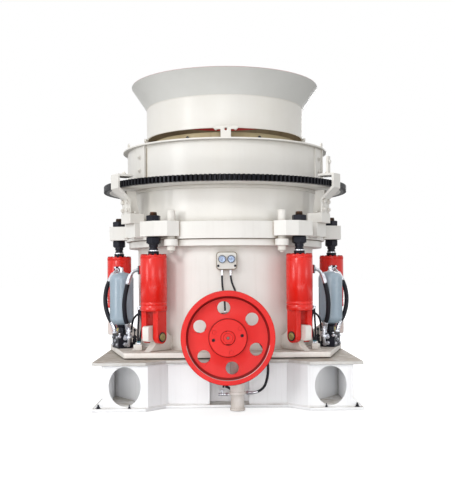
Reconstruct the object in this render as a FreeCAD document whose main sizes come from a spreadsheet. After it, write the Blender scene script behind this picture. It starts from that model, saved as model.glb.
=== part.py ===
import FreeCAD, Part
import math
import os
import Sketcher
from FreeCAD import Placement, Rotation, Vector

# Cone crusher on a welded base frame, in millimetres.
# The origin is on the floor under the machine's vertical axis.
# The sheave faces -Y, +X is to its right and +Z is up.
# An azimuth is an angle about the vertical axis, 0 at the front and positive towards +X.

# Driving dimensions
SIZES = {
    # Base frame
    "base_height": 382,
    "base_plate_thick": 24,
    "base_web_thick": 18,
    "base_side_out": 261,
    "base_front_out": 353,
    "base_inner_front_out": 198,
    "base_bay_width": 418,
    "base_step_run": 150,
    "base_side_lip": 78,
    "base_front_lip": 30,
    "oval_width": 250,
    "oval_margin": 13,
    "oval_from_side": 252,
    "recess_half_width": 159,
    "recess_offset": 15,
    "recess_back_out": 3,
    "corner_wall_side": 415,
    "corner_gusset": 70,
    "corner_gusset_thick": 14,
    "anchor_from_side": 36,
    "anchor_from_front": 200,
    "anchor_r": 15,
    "rubber_thick": 10,
    "rubber_width": 120,
    # Main frame
    "foot_thick": 44,
    "foot_front_half_out": 36,
    "foot_front_out": 133,
    "foot_side_half": 90,
    "foot_side_out": 253,
    "shell_r": 797,
    "shell_wall": 55,
    "shell_tall": 864,
    "frame_flange_thick": 56,
    "frame_flange_out": 83,
    "pin_lobe_r": 58,
    "hub_r": 330,
    "hub_over_foot": 64,
    "hub_below_flange": 150,
    "arm_thick": 90,
    "arm_over_foot": 44,
    "arm_tall": 420,
    "shaft_r": 150,
    "shaft_below_hub": 30,
    # Countershaft and sheave
    "drive_over_foot": 151,
    "housing_r": 145,
    "housing_bore_r": 100,
    "housing_out": 383,
    "housing_in_hub": 60,
    "housing_flange_r": 185,
    "housing_flange_thick": 34,
    "bearing_width": 90,
    "bearing_setback": 30,
    "bearing_clear": 0.05,
    "countershaft_r": 50,
    "countershaft_past_bearing": 10,
    "sheave_r": 355,
    "sheave_out": 220,
    "sheave_width": 190,
    "sheave_rim": 44,
    "sheave_dish": 40,
    "sheave_web": 28,
    "sheave_hub_r": 142,
    "sheave_hub_proud": 24,
    "sheave_hub_length": 130,
    "bush_r": 56,
    "bush_proud": 4,
    "groove_count": 6,
    "groove_deep": 20,
    "groove_land": 7,
    "sheave_hole_r": 49,
    "sheave_hole_circle_r": 229,
    "sheave_hole_first": 7.6,
    # Drain under the housing and gauges on the shell
    "drain_r": 58,
    "drain_x": 75,
    "drain_from_flange": 52,
    "drain_step": 135,
    "drain_low_r": 52,
    "drain_low": 4,
    "drain_nipple_r": 10,
    "drain_nipple": 54,
    "drain_nipple_height": 140.6,
    "drain_tap_r": 7,
    "drain_tap": 92,
    "drain_tap_height": 129,
    "gauge_box_width": 172,
    "gauge_box_tall": 147,
    "gauge_box_deep": 62,
    "gauge_box_below_flange": 197,
    "gauge_r": 32,
    "gauge_spacing": 74,
    "gauge_proud": 14,
    "gauge_share": 0.59,
    # Head and mantle
    "head_over_hub": 40,
    "head_skirt": 60,
    "head_skirt_in": 20,
    "head_seat_in": 30,
    "head_seat_lip": 20,
    "mantle_setting": 82,
    "mantle_over_liner": 4,
    "mantle_tall": 560,
    "mantle_top_r": 250,
    "mantle_wall": 42,
    "mantle_edge": 50,
    "mantle_edge_out": 4,
    "feed_plate_r": 235,
    "feed_plate_thick": 26,
    "head_nut_r": 130,
    "head_nut_tall": 40,
    # Adjustment ring, with the ears that the release cylinders pull on
    "ring_groove": 4,
    "ring_seat_out": 65,
    "ring_outside_tower": 69,
    "ring_tall": 144,
    "ear_over_seat": 24,
    "ear_proud": 4,
    "ear_past_rod": 78,
    "ear_half": 80,
    "ear_root_in": 25,
    "ear_root_half": 116,
    "ear_bite": 10,
    "ear_tower_gap": 14,
    "pin_ear_tuck": 40,
    "ear_past_pin": 75,
    "pin_ear_side": 176,
    "pin_ear_root_in": 3,
    "pin_ear_root_side": 212,
    "tower_outside_shell": 39,
    "tower_wall": 60,
    "gear_running_gap": 0.3,
    "tower_lip_out": 16,
    "tower_lip": 26,
    # Guide pins
    "pin_r": 35,
    "pin_off_shell": 133,
    "pin_azimuth": 29.3,
    "pin_below_flange": 38,
    "pin_proud": 95,
    "pin_clear": 1,
    # Release cylinders
    "ram_off_shell": 180,
    "ram_first": 38,
    "ram_r": 109,
    "fork_tall": 210,
    "ram_below_flange": 74,
    "ram_bore_r": 78,
    "ram_floor": 85,
    "fork_thick": 54,
    "fork_gap": 74,
    "fork_width": 110,
    "fork_pin_over_foot": 119,
    "clevis_pin_r": 25,
    "clevis_pin_proud": 12,
    "clevis_head_r": 34,
    "port_width": 46,
    "port_tall": 74,
    "port_out": 62,
    "port_below_top": 120,
    "gland_r": 46,
    "gland_tall": 44,
    "gland_ring_r": 40,
    "gland_ring_tall": 14,
    "gland_bore_clear": 0.05,
    "gland_plug": 60,
    "port_bite": 12,
    "rod_r": 31,
    "piston_rest": 50,
    "piston_r": 72,
    "piston_tall": 60,
    "rod_proud": 29,
    "nut_across": 113,
    "lower_nut_tall": 56,
    "upper_nut_tall": 49,
    "rod_hole_clear": 2,
    # Lugs that hold the cylinders' forks
    "lug_thick": 68,
    "lug_past_pin": 63,
    "lug_over_pin": 51,
    "lug_under_pin": 47,
    "lug_waist_in": 47,
    "lug_foot_out": 23,
    "lug_root_rise": 54,
    "lug_heel": 40,
    "lug_nose_chamfer": 12,
    "lug_nose_chamfer_out": 20,
    # Accumulators between the cylinders
    "bottle_r": 102.5,
    "bottle_azimuth": 65,
    "bottle_off_shell": 203,
    "rear_bottle_off_shell": 106,
    "rear_manifold_off_shell": 71,
    "bottle_over_foot": 194,
    "bottle_tall": 459,
    "bottle_dome": 60,
    "bottle_neck_r": 30,
    "bottle_neck": 74,
    "bottle_stem_r": 16,
    "bottle_stem": 42,
    "manifold_width": 168,
    "manifold_deep": 120,
    "hose_r": 19,
    "gauge_hose_r": 8,
    "drain_hose_r": 10,
    # Gear ring and bowl
    "gear_over_ring": 304,
    "gear_thick": 52,
    "gear_outside_tower": 268,
    "gear_tooth": 26,
    "gear_teeth": 180,
    "gear_bore_clear": 6,
    "bowl_running_gap": 6,
    "bowl_over_seat": 34,
    "bowl_taper_in": 80,
    "bowl_taper": 90,
    "bowl_seat": 30,
    "bowl_flange_out": 98,
    "bowl_flange_thick": 44,
    "liner_wall": 48,
    "liner_over_bowl": 6,
    "liner_inside_bowl": 86,
    "liner_lip": 24,
    "liner_proud": 75,
    "liner_mouth_in": 320,
    "liner_top_edge": 60,
    "liner_parallel": 220,
    "liner_parallel_in": 60,
    # Cap over the gear ring, feed ring and hopper
    "cap_outside_bowl": 20,
    "cap_wall": 14,
    "cap_tall": 318,
    "cap_plate": 13,
    "cap_flange_out": 40,
    "cap_joint_first": -50,
    "cap_joint_width": 150,
    "cap_joint_thick": 12,
    "cap_joint_bar": 16,
    "cap_joint_bar_out": 26,
    "eye_azimuth": 69,
    "eye_outside_cap": 20,
    "eye_tall": 46,
    "eye_width": 42,
    "eye_thick": 14,
    "eye_hole_r": 11,
    "feed_ring_in": 228,
    "feed_ring_wall": 18,
    "feed_ring_proud": 91,
    "hopper_outside_feed": 53,
    "hopper_wall": 12,
    "hopper_over_cap": 113,
    "hopper_straight": 276,
    "hopper_flare": 202,
    "hopper_flare_out": 135,
    "hopper_lug_width": 86,
    "hopper_lug_thick": 20,
    "hopper_lug_over": 15,
    "hopper_lug_ear": 46,
    "hopper_lug_ear_r": 14,
    "hopper_lug_hole_r": 11,
    # Brackets that reach round the gear ring
    "bracket_azimuth": 56,
    "bracket_width": 130,
    "bracket_bar": 20,
    "bracket_gear_clear": 8,
    "bracket_tab_over_teeth": 119,
    "bracket_tab_over_gear": 38,
    "bracket_wall_below_gear": 12,
    "bracket_plate_in": 77,
    "bracket_plate_below_gear": 98,
    "bracket_rib_below_gear": 24,
    "bracket_rib_thick": 26,
    "bracket_block_width": 166,
    "bracket_block_deep": 135,
    "bracket_block_tall": 84,
    "bracket_lobe_in": 42,
    "bracket_rib_round": 20,
    "bracket_rib_slope": 30,
    "bracket_stop_in": 44,
    "bracket_stop_tall": 172,
    "bracket_stop_width": 46,
}

# How far a cutting solid reaches past the face that it opens
PAST = 1
# Where a belt groove's root starts and ends and its land begins, as shares of the pitch
GROOVE_SHARES = (0.27, 0.51, 0.78)
# Where a gear tooth's root ends and its tip starts and ends, as shares of the pitch
TOOTH_SHARES = (0.22, 0.40, 0.82)
# A bottle's end: the share of its radius at a share of the dome's height
DOME_R_SHARE = 0.7
DOME_SHARE = 0.3
NECK_SHARE = 0.1


class Size:
    """A dimension known both as a number and as the sheet expression that gives it."""

    def __init__(self, number, text):
        self.number = float(number)
        self.text = text

    def __add__(self, other):
        return Size(self.number + number(other), f"({self.text} + {text(other)})")

    def __radd__(self, other):
        return Size(number(other) + self.number, f"({text(other)} + {self.text})")

    def __sub__(self, other):
        return Size(self.number - number(other), f"({self.text} - {text(other)})")

    def __rsub__(self, other):
        return Size(number(other) - self.number, f"({text(other)} - {self.text})")

    def __mul__(self, other):
        return Size(self.number * number(other), f"({self.text} * {text(other)})")

    __rmul__ = __mul__

    def __truediv__(self, other):
        return Size(self.number / number(other), f"({self.text} / {text(other)})")

    def __neg__(self):
        return Size(-self.number, f"(0 - {self.text})")


def number(value):
    """The plain number of a size or of a number."""
    return value.number if isinstance(value, Size) else float(value)


def text(value):
    """The sheet expression of a size or of a number."""
    return value.text if isinstance(value, Size) else f"{float(value):.6f}"


def sine(angle):
    """The sine of an angle in degrees, as a size."""
    return Size(math.sin(math.radians(number(angle))), f"sin({text(angle)})")


def cosine(angle):
    """The cosine of an angle in degrees, as a size."""
    return Size(math.cos(math.radians(number(angle))), f"cos({text(angle)})")


# The document, its sheet and the named sizes
doc = FreeCAD.newDocument("cone_crusher")
sheet = doc.addObject("Spreadsheet::Sheet", "Sizes")
for row, (alias, value) in enumerate(SIZES.items(), 1):
    sheet.set(f"A{row}", alias.replace("_", " "))
    sheet.set(f"B{row}", str(value))
    sheet.setAlias(f"B{row}", alias)
doc.recompute()


class Sizes:
    """The sheet's cells as sizes, read by name."""

    def __getattr__(self, alias):
        return Size(getattr(sheet, alias), f"Sizes.{alias}")


S = Sizes()
NODES = {}
AXIS = Vector(0, 0, 1)


def bind(thing, prop, value):
    """Sets a property from a size, and ties it to the sheet."""
    if isinstance(value, Size):
        thing.setExpression(prop, value.text)
    elif "." not in prop:
        setattr(thing, prop, value)
    else:
        thing.setExpression(prop, text(value))


def node(label, thing):
    """Names a finished piece, which is written to a file of that name."""
    thing.Label = label
    NODES[label] = thing
    return thing


def locate(thing, x=0, y=0, z=0):
    """Ties the place of a piece to the sheet."""
    for axis, value in (("x", x), ("y", y), ("z", z)):
        bind(thing, f"Placement.Base.{axis}", value)
    return thing


def turned(thing, azimuth):
    """Turns a piece made at the front to its azimuth about the machine's axis."""
    thing.Placement = Placement(Vector(), Rotation(AXIS, number(azimuth)))
    return thing


def box(name, x, y, z, across, deep, tall):
    """A block from its lowest corner and its three sizes."""
    made = doc.addObject("Part::Box", name)
    bind(made, "Length", across)
    bind(made, "Width", deep)
    bind(made, "Height", tall)
    return locate(made, x, y, z)


def cylinder(name, x, y, z, radius, tall, along="z"):
    """A cylinder from the middle of its first end; along x, y or z."""
    made = doc.addObject("Part::Cylinder", name)
    bind(made, "Radius", radius)
    bind(made, "Height", tall)
    turn = {"z": Rotation(), "x": Rotation(Vector(0, 1, 0), 90), "y": Rotation(Vector(1, 0, 0), -90)}
    made.Placement = Placement(Vector(), turn[along])
    return locate(made, x, y, z)


def cone(name, x, y, z, low_r, high_r, tall):
    """An upright cone from the middle of its lower end."""
    made = doc.addObject("Part::Cone", name)
    bind(made, "Radius1", low_r)
    bind(made, "Radius2", high_r)
    bind(made, "Height", tall)
    return locate(made, x, y, z)


def fuse(name, *parts):
    """One solid from several that touch or overlap."""
    made = doc.addObject("Part::MultiFuse", name)
    made.Shapes = list(parts)
    made.Refine = True
    return made


def cut(name, base, *tools):
    """A solid with others taken out of it."""
    tool = tools[0] if len(tools) == 1 else fuse(name + "_tools", *tools)
    made = doc.addObject("Part::Cut", name)
    made.Base = base
    made.Tool = tool
    return made


def group(name, parts):
    """Several solids that don't touch, as one piece."""
    made = doc.addObject("Part::Compound", name)
    made.Links = list(parts)
    return made


def plane_of(body, role):
    """One of a body's own origin planes."""
    for feature in body.Origin.OriginFeatures:
        if feature.Role == role:
            return feature
    raise ValueError(f"{body.Name} has no {role}")


def tie_point(sketch, geometry, end, x, y):
    """Ties a point of a sketch to its two coordinates."""
    for kind, line, value in (("DistanceX", -2, x), ("DistanceY", -1, y)):
        if not isinstance(value, Size) and value == 0:
            sketch.addConstraint(Sketcher.Constraint("PointOnObject", geometry, end, line))
            continue
        made = sketch.addConstraint(
            Sketcher.Constraint(kind, -1, 1, geometry, end, number(value))
        )
        if isinstance(value, Size):
            sketch.setExpression(f"Constraints[{made}]", value.text)


def sketch_on(body, name, role, height=0):
    """An empty sketch on a plane of the body, or at a height above it."""
    sketch = body.newObject("Sketcher::SketchObject", name)
    sketch.AttachmentSupport = [(plane_of(body, role), "")]
    sketch.MapMode = "FlatFace"
    if isinstance(height, Size) or height:
        bind(sketch, "AttachmentOffset.Base.z", height)
    return sketch


def draw_polygon(sketch, points):
    """A closed outline through points, each tied to its coordinates."""
    first = sketch.GeometryCount
    places = [Vector(number(x), number(y), 0) for x, y in points]
    last = len(points) - 1
    for index, place in enumerate(places):
        follows = places[0 if index == last else index + 1]
        sketch.addGeometry(Part.LineSegment(place, follows), False)
    for index in range(len(points)):
        follows = first if index == last else first + index + 1
        sketch.addConstraint(Sketcher.Constraint("Coincident", first + index, 2, follows, 1))
    for index, (x, y) in enumerate(points):
        tie_point(sketch, first + index, 1, x, y)


def draw_circle(sketch, x, y, radius):
    """A circle tied to its centre and radius."""
    made = sketch.addGeometry(
        Part.Circle(Vector(number(x), number(y), 0), Vector(0, 0, 1), number(radius)), False
    )
    tie_point(sketch, made, 3, x, y)
    ring = sketch.addConstraint(Sketcher.Constraint("Radius", made, number(radius)))
    if isinstance(radius, Size):
        sketch.setExpression(f"Constraints[{ring}]", radius.text)


def revolve(name, points):
    """A body turned about the vertical axis from an outline of radii and heights."""
    body = doc.addObject("PartDesign::Body", name)
    sketch = sketch_on(body, name + "_profile", "XZ_Plane")
    draw_polygon(sketch, points)
    made = body.newObject("PartDesign::Revolution", name + "_turn")
    made.Profile = sketch
    made.ReferenceAxis = (sketch, ["V_Axis"])
    made.Angle = 360
    body.Tip = made
    return body


def ring(name, inner, outer, low, high):
    """A plain ring between two radii and two heights."""
    return revolve(name, [(inner, low), (outer, low), (outer, high), (inner, high)])


def pad(name, height, thick, outline, holes=()):
    """A plate with an outline, round holes, a height and a thickness."""
    body = doc.addObject("PartDesign::Body", name)
    sketch = sketch_on(body, name + "_outline", "XY_Plane", height)
    draw_polygon(sketch, outline)
    for x, y, radius in holes:
        draw_circle(sketch, x, y, radius)
    made = body.newObject("PartDesign::Pad", name + "_plate")
    made.Profile = sketch
    bind(made, "Length", thick)
    body.Tip = made
    return body


def mirrored_front_back(front):
    """An outline given for the front half from left to right, with its back half added."""
    return front + [(x, -y) for x, y in reversed(front)]


def base_outline(side, front, inner_front, step_out, step_in):
    """The base frame's outline: corner bays stand further out than the middle."""
    return mirrored_front_back([
        (-side, -front),
        (-step_out, -front),
        (-step_in, -inner_front),
        (step_in, -inner_front),
        (step_out, -front),
        (side, -front),
    ])


def tangent_path(points):
    """A wire of straight runs joined by arcs as large as the runs allow, and its radii."""
    places = [Vector(*point) for point in points]
    edges, radii = [], []
    start = places[0]
    for before, corner, after in zip(places, places[1:], places[2:]):
        back, ahead = (before - corner), (after - corner)
        shorter = min(back.Length, ahead.Length)
        turn = math.pi - back.getAngle(ahead)
        reach = 0.45 * shorter
        radius = reach / math.tan(turn / 2)
        enter = corner + back.normalize() * reach
        leave = corner + ahead.normalize() * reach
        middle = (enter + leave) * 0.5 - corner
        centre = corner + middle.normalize() * math.hypot(radius, reach)
        bend = centre + (corner - centre).normalize() * radius
        edges.append(Part.LineSegment(start, enter).toShape())
        edges.append(Part.Arc(enter, bend, leave).toShape())
        radii.append(radius)
        start = leave
    edges.append(Part.LineSegment(start, places[-1]).toShape())
    return Part.Wire(edges), radii


def tube(name, points, radius):
    """A round tube along a path of runs and arcs."""
    path, radii = tangent_path(points)
    direction = path.Edges[0].tangentAt(path.Edges[0].FirstParameter)
    circle = Part.Wire(Part.Circle(Vector(*points[0]), direction, radius).toShape())
    solid = path.makePipeShell([circle], True, True)
    wanted = math.pi * radius**2 * path.Length
    print(f"{name}: radii {[round(r) for r in radii]} volume {solid.Volume / wanted:.3f}")
    made = doc.addObject("Part::Feature", name)
    made.Shape = solid
    return made


# Heights that follow from the driving sizes
foot_low = S.base_height + S.rubber_thick
foot_high = foot_low + S.foot_thick
shell_top = foot_high + S.shell_tall
frame_top = shell_top + S.frame_flange_thick
drive_height = foot_high + S.drive_over_foot
hub_bottom = foot_high + S.hub_over_foot
hub_top = shell_top - S.hub_below_flange
arm_bottom = foot_high + S.arm_over_foot
arm_top = arm_bottom + S.arm_tall
shaft_bottom = hub_bottom - S.shaft_below_hub
gauge_box_bottom = shell_top - S.gauge_box_below_flange
ring_bottom = frame_top
ring_top = ring_bottom + S.ring_tall
ear_bottom = ring_bottom + S.ear_over_seat
ear_top = ring_top + S.ear_proud
gear_bottom = ring_top + S.gear_over_ring
gear_top = gear_bottom + S.gear_thick
bowl_top = gear_top + S.bowl_flange_thick
tower_top = gear_bottom - S.gear_running_gap
pin_bottom = shell_top - S.pin_below_flange
pin_top = ring_top + S.pin_proud
fork_pin_height = foot_high + S.fork_pin_over_foot
ram_bottom = fork_pin_height + S.fork_tall
ram_top = shell_top - S.ram_below_flange
ram_bore_bottom = ram_bottom + S.ram_floor
port_height = ram_top - S.port_below_top
gland_top = ram_top + S.gland_tall
gland_ring_top = gland_top + S.gland_ring_tall
rod_bottom = ram_bore_bottom + S.piston_rest
lower_nut_bottom = ear_bottom - S.lower_nut_tall
upper_nut_top = ear_top + S.upper_nut_tall
rod_top = upper_nut_top + S.rod_proud
lug_top = fork_pin_height + S.lug_over_pin
lug_nose_bottom = fork_pin_height - S.lug_under_pin
lug_root_top = lug_top + S.lug_root_rise
bottle_bottom = foot_high + S.bottle_over_foot
bottle_top = bottle_bottom + S.bottle_tall
bowl_bottom = ring_bottom + S.bowl_over_seat
liner_bottom = bowl_bottom + S.liner_over_bowl
liner_top = bowl_top + S.liner_proud
head_bottom = hub_top + S.head_over_hub
mantle_bottom = liner_bottom + S.mantle_over_liner
mantle_top = mantle_bottom + S.mantle_tall
cap_top = gear_top + S.cap_tall
feed_ring_top = cap_top + S.feed_ring_proud
hopper_bottom = cap_top + S.hopper_over_cap
hopper_kink = hopper_bottom + S.hopper_straight
hopper_top = hopper_kink + S.hopper_flare
hopper_lug_top = hopper_bottom + S.hopper_lug_over
bracket_tab_bottom = gear_top + S.bracket_tab_over_gear
bracket_wall_bottom = gear_bottom - S.bracket_wall_below_gear
bracket_plate_top = gear_bottom - S.bracket_plate_below_gear
bracket_rib_top = gear_bottom - S.bracket_rib_below_gear
bracket_block_top = ring_top + S.bracket_block_tall
bracket_stop_top = bracket_tab_bottom + S.bracket_stop_tall

# Radii and reaches that follow from the driving sizes
shell_in = S.shell_r - S.shell_wall
foot_front_half = S.shell_r + S.foot_front_half_out
foot_front = S.shell_r + S.foot_front_out
foot_side = S.shell_r + S.foot_side_out
base_half_width = S.shell_r + S.base_side_out
base_front = S.shell_r + S.base_front_out
base_inner_front = S.shell_r + S.base_inner_front_out
base_opening_r = shell_in
base_step_outer = base_half_width - S.base_bay_width
base_step_inner = base_step_outer - S.base_step_run
oval_x = base_half_width - S.oval_from_side
recess_back = S.shell_r + S.recess_back_out
anchor_x = base_half_width - S.anchor_from_side
anchor_y = base_front - S.anchor_from_front
frame_flange_r = S.shell_r + S.frame_flange_out
housing_front = S.shell_r + S.housing_out
sheave_front = housing_front + S.sheave_out
drain_out = housing_front - S.drain_from_flange
pin_circle_r = S.shell_r + S.pin_off_shell
ram_circle_r = S.shell_r + S.ram_off_shell
tower_r = S.shell_r + S.tower_outside_shell
tower_in = tower_r - S.tower_wall
ring_seat_r = S.shell_r + S.ring_seat_out
ring_r = tower_r + S.ring_outside_tower
tower_lip_r = tower_r + S.tower_lip_out
ear_root = ring_r - S.ear_root_in
pin_ear_root = ring_r - S.pin_ear_root_in
ear_out = ram_circle_r + S.ear_past_rod
pin_ear_out = pin_circle_r + S.ear_past_pin
lug_out = ram_circle_r + S.lug_past_pin
lug_waist = ram_circle_r - S.lug_waist_in
lug_foot = ram_circle_r + S.lug_foot_out
bottle_circle_r = S.shell_r + S.bottle_off_shell
rear_bottle_circle_r = S.shell_r + S.rear_bottle_off_shell
rear_manifold_circle_r = S.shell_r + S.rear_manifold_off_shell
gear_r = tower_r + S.gear_outside_tower
bowl_r = tower_in - S.bowl_running_gap
gear_bore_r = bowl_r + S.gear_bore_clear
bowl_low_r = bowl_r - S.bowl_taper_in
bowl_flange_r = bowl_r + S.bowl_flange_out
liner_low_r = bowl_low_r - S.liner_inside_bowl
liner_top_r = bowl_r - S.liner_mouth_in
mantle_low_r = liner_low_r - S.mantle_setting
head_low_r = mantle_low_r - S.mantle_wall
cap_r = bowl_flange_r + S.cap_outside_bowl
cap_flange_r = cap_r + S.cap_flange_out
eye_circle_r = cap_r + S.eye_outside_cap
feed_ring_r = cap_r - S.feed_ring_in
hopper_r = feed_ring_r + S.hopper_outside_feed
hopper_top_r = hopper_r + S.hopper_flare_out
bracket_tab_inner = gear_r - S.bracket_tab_over_teeth
bracket_plate_out = gear_r - S.bracket_plate_in
bracket_lobe_out = bracket_plate_out - S.bracket_lobe_in
bracket_rib_inner = ring_r
bracket_stop_out = gear_r - S.bracket_stop_in

# Base frame
base_top_low = S.base_height - S.base_plate_thick
base_plate = base_outline(
    base_half_width, base_front, base_inner_front, base_step_outer, base_step_inner
)
centre_hole = [(0, 0, base_opening_r)]
anchor_holes = [(anchor_x * sx, anchor_y * sy, S.anchor_r) for sx in (-1, 1) for sy in (-1, 1)]
node("base_bottom_plate", pad(
    "BottomPlate", 0, S.base_plate_thick, base_plate, centre_hole + anchor_holes
))
node("base_top_plate", pad("TopPlate", base_top_low, S.base_plate_thick, base_plate, centre_hole))

web_side = base_half_width - S.base_side_lip
web_front = base_front - S.base_front_lip
web_inner = base_inner_front - S.base_front_lip
web_tall = base_top_low - S.base_plate_thick
web_step_out = base_step_outer - S.base_front_lip / 2
web_step_in = base_step_inner - S.base_front_lip / 2
web_side_back = web_side - S.base_web_thick
web_front_back = web_front - S.base_web_thick
web_inner_back = web_inner - S.base_web_thick
web_step_out_back = web_step_out + S.base_web_thick / 2
web_step_in_back = web_step_in + S.base_web_thick / 2
CORNER_BAYS = ((-1, -1), (1, -1), (1, 1), (-1, 1))


def web(name, outline, sx=1, sy=1):
    """One upright plate between the base frame's two flat plates."""
    return pad(name, S.base_plate_thick, web_tall, [(x * sx, y * sy) for x, y in outline])


def corner_webs(index, side):
    """The slanted plate at a corner bay's step, and the plate from it back to the side."""
    sx, sy = CORNER_BAYS[index]
    thick = S.base_web_thick
    step = web(f"StepWeb{index}", [
        (web_step_out, web_front),
        (web_step_in, web_inner),
        (web_step_in_back, web_inner_back),
        (web_step_out_back, web_front_back),
    ], sx, sy)
    side_x, side_y = web_side - thick / 2, S.corner_wall_side
    end_x, end_y = (web_step_out + web_step_in) / 2, (web_front + web_inner) / 2 - thick / 4
    long = web(f"CornerWebLong{index}", [
        (side_x, side_y),
        (side_x, side_y + thick * 2),
        (end_x + thick, end_y),
        (end_x, end_y),
    ], sx, sy)
    return [step, cut(f"CornerWeb{index}", long, step, side)]


def middle_webs():
    """Plates across the middle of the base frame, with the recess for the drive at the front."""
    left = S.recess_offset - S.recess_half_width
    right = S.recess_offset + S.recess_half_width
    thick = S.base_web_thick
    back = -recess_back + thick
    return [
        web("RearWeb", [
            (-web_step_in, web_inner),
            (web_step_in, web_inner),
            (web_step_in_back, web_inner_back),
            (-web_step_in_back, web_inner_back),
        ]),
        web("FrontLeftWeb", [
            (-web_step_in, -web_inner),
            (left - thick, -web_inner),
            (left - thick, -web_inner_back),
            (-web_step_in_back, -web_inner_back),
        ]),
        web("FrontRightWeb", [
            (right + thick, -web_inner),
            (web_step_in, -web_inner),
            (web_step_in_back, -web_inner_back),
            (right + thick, -web_inner_back),
        ]),
        web("RecessLeftWeb", [
            (left - thick, -web_inner), (left, -web_inner), (left, back), (left - thick, back)
        ]),
        web("RecessRightWeb", [
            (right, -web_inner), (right + thick, -web_inner), (right + thick, back), (right, back)
        ]),
        web("RecessBackWeb", [
            (left, -recess_back), (right, -recess_back), (right, back), (left, back)
        ]),
    ]


def base_webs():
    """Upright plates of the base frame, apart from the corner bays' ends."""
    sides = [
        web(f"SideWeb{index}", [
            (web_side_back, -web_front),
            (web_side, -web_front),
            (web_side, web_front),
            (web_side_back, web_front),
        ], sign)
        for index, sign in enumerate((-1, 1))
    ]
    corners = []
    for index, (sx, _) in enumerate(CORNER_BAYS):
        corners.extend(corner_webs(index, sides[0] if sx < 0 else sides[1]))
    return group("BaseWebs", sides + corners + middle_webs() + corner_gussets())


def end_webs():
    """The corner bays' end plates, each with an oval hole."""
    ovals = {}
    for index, sign in enumerate((-1, 1)):
        hole = doc.addObject("Part::Feature", f"Oval{index}")
        middle = Vector(
            sign * number(oval_x),
            -number(base_front) - PAST,
            number(S.base_height) / 2,
        )
        across, tall = number(S.oval_width) / 2, number(web_tall) / 2 - number(S.oval_margin)
        curve = Part.Ellipse(middle + Vector(0, 0, tall), middle + Vector(across, 0, 0), middle)
        face = Part.Face(Part.Wire(curve.toShape()))
        hole.Shape = face.extrude(Vector(0, 2 * number(base_front) + 2 * PAST, 0))
        ovals[sign] = hole
    made = []
    for index, (sx, sy) in enumerate(CORNER_BAYS):
        plain = web(f"EndWebPlain{index}", [
            (web_side_back, web_front),
            (web_step_out, web_front),
            (web_step_out_back, web_front_back),
            (web_side_back, web_front_back),
        ], sx, sy)
        made.append(cut(f"EndWeb{index}", plain, ovals[sx]))
    return group("BaseEndWebs", made)


def corner_gussets():
    """Triangular plates at the foot of the base frame's outside corners."""
    made = []
    for index, (sx, sy) in enumerate(CORNER_BAYS):
        body = doc.addObject("PartDesign::Body", f"Gusset{index}")
        sketch = sketch_on(body, f"Gusset{index}_outline", "XZ_Plane")
        foot, side = S.base_plate_thick, web_side
        draw_polygon(sketch, [
            (side * sx, foot),
            ((side + S.corner_gusset) * sx, foot),
            (side * sx, foot + S.corner_gusset),
        ])
        made_pad = body.newObject("PartDesign::Pad", f"Gusset{index}_plate")
        made_pad.Profile = sketch
        bind(made_pad, "Length", S.corner_gusset_thick)
        body.Tip = made_pad
        place = web_front * sy
        offset = S.corner_gusset_thick if sy < 0 else Size(0, "0")
        locate(body, 0, place + offset, 0)
        made.append(body)
    return made


node("base_webs", base_webs())
node("base_end_webs", end_webs())

# Main frame: foot on rubber, shell, top flange, hub and arms
housing_back = S.hub_r - S.housing_in_hub
foot_outline = mirrored_front_back([
    (-foot_side, -S.foot_side_half),
    (-foot_front_half, -foot_front),
    (foot_front_half, -foot_front),
    (foot_side, -S.foot_side_half),
])
node("isolation_ring", ring(
    "RubberRing", S.shell_r - S.rubber_width / 2, S.shell_r + S.rubber_width, S.base_height, foot_low
))
node("main_frame_foot", pad("Foot", foot_low, S.foot_thick, foot_outline, [(0, 0, shell_in)]))

drive_bore = cylinder(
    "DriveBore", 0, -S.shell_r - PAST, drive_height, S.housing_r, S.shell_wall * 2, "y"
)
shell_ring = ring("ShellRing", shell_in, S.shell_r, foot_high, shell_top)
node("main_frame_shell", cut("Shell", shell_ring, drive_bore))


def pin_places():
    """Azimuths of the four guide pins."""
    return [
        -S.pin_azimuth,
        S.pin_azimuth,
        180 - S.pin_azimuth,
        S.pin_azimuth - 180,
    ]


def frame_flange():
    """Top flange of the main frame, with a lobe under each guide pin."""
    plain = ring("FlangeRing", shell_in, frame_flange_r, shell_top, frame_top)
    lobes = []
    for index, azimuth in enumerate(pin_places()):
        x = pin_circle_r * sine(azimuth)
        y = -pin_circle_r * cosine(azimuth)
        lobes.append(cylinder(f"Lobe{index}", x, y, shell_top, S.pin_lobe_r, S.frame_flange_thick))
    holes = []
    for index, azimuth in enumerate(pin_places()):
        x = pin_circle_r * sine(azimuth)
        y = -pin_circle_r * cosine(azimuth)
        holes.append(cylinder(
            f"LobeHole{index}", x, y, shell_top - PAST, S.pin_r, S.frame_flange_thick + 2 * PAST
        ))
    return cut("FrameFlange", fuse("FlangeLobes", plain, *lobes), *holes)


node("main_frame_flange", frame_flange())


def guide_pins():
    """Pins that keep the adjustment ring in line when it lifts."""
    made = []
    for index, azimuth in enumerate(pin_places()):
        x = pin_circle_r * sine(azimuth)
        y = -pin_circle_r * cosine(azimuth)
        made.append(cylinder(f"GuidePin{index}", x, y, pin_bottom, S.pin_r, pin_top - pin_bottom))
    return group("GuidePins", made)


node("guide_pins", guide_pins())


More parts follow.
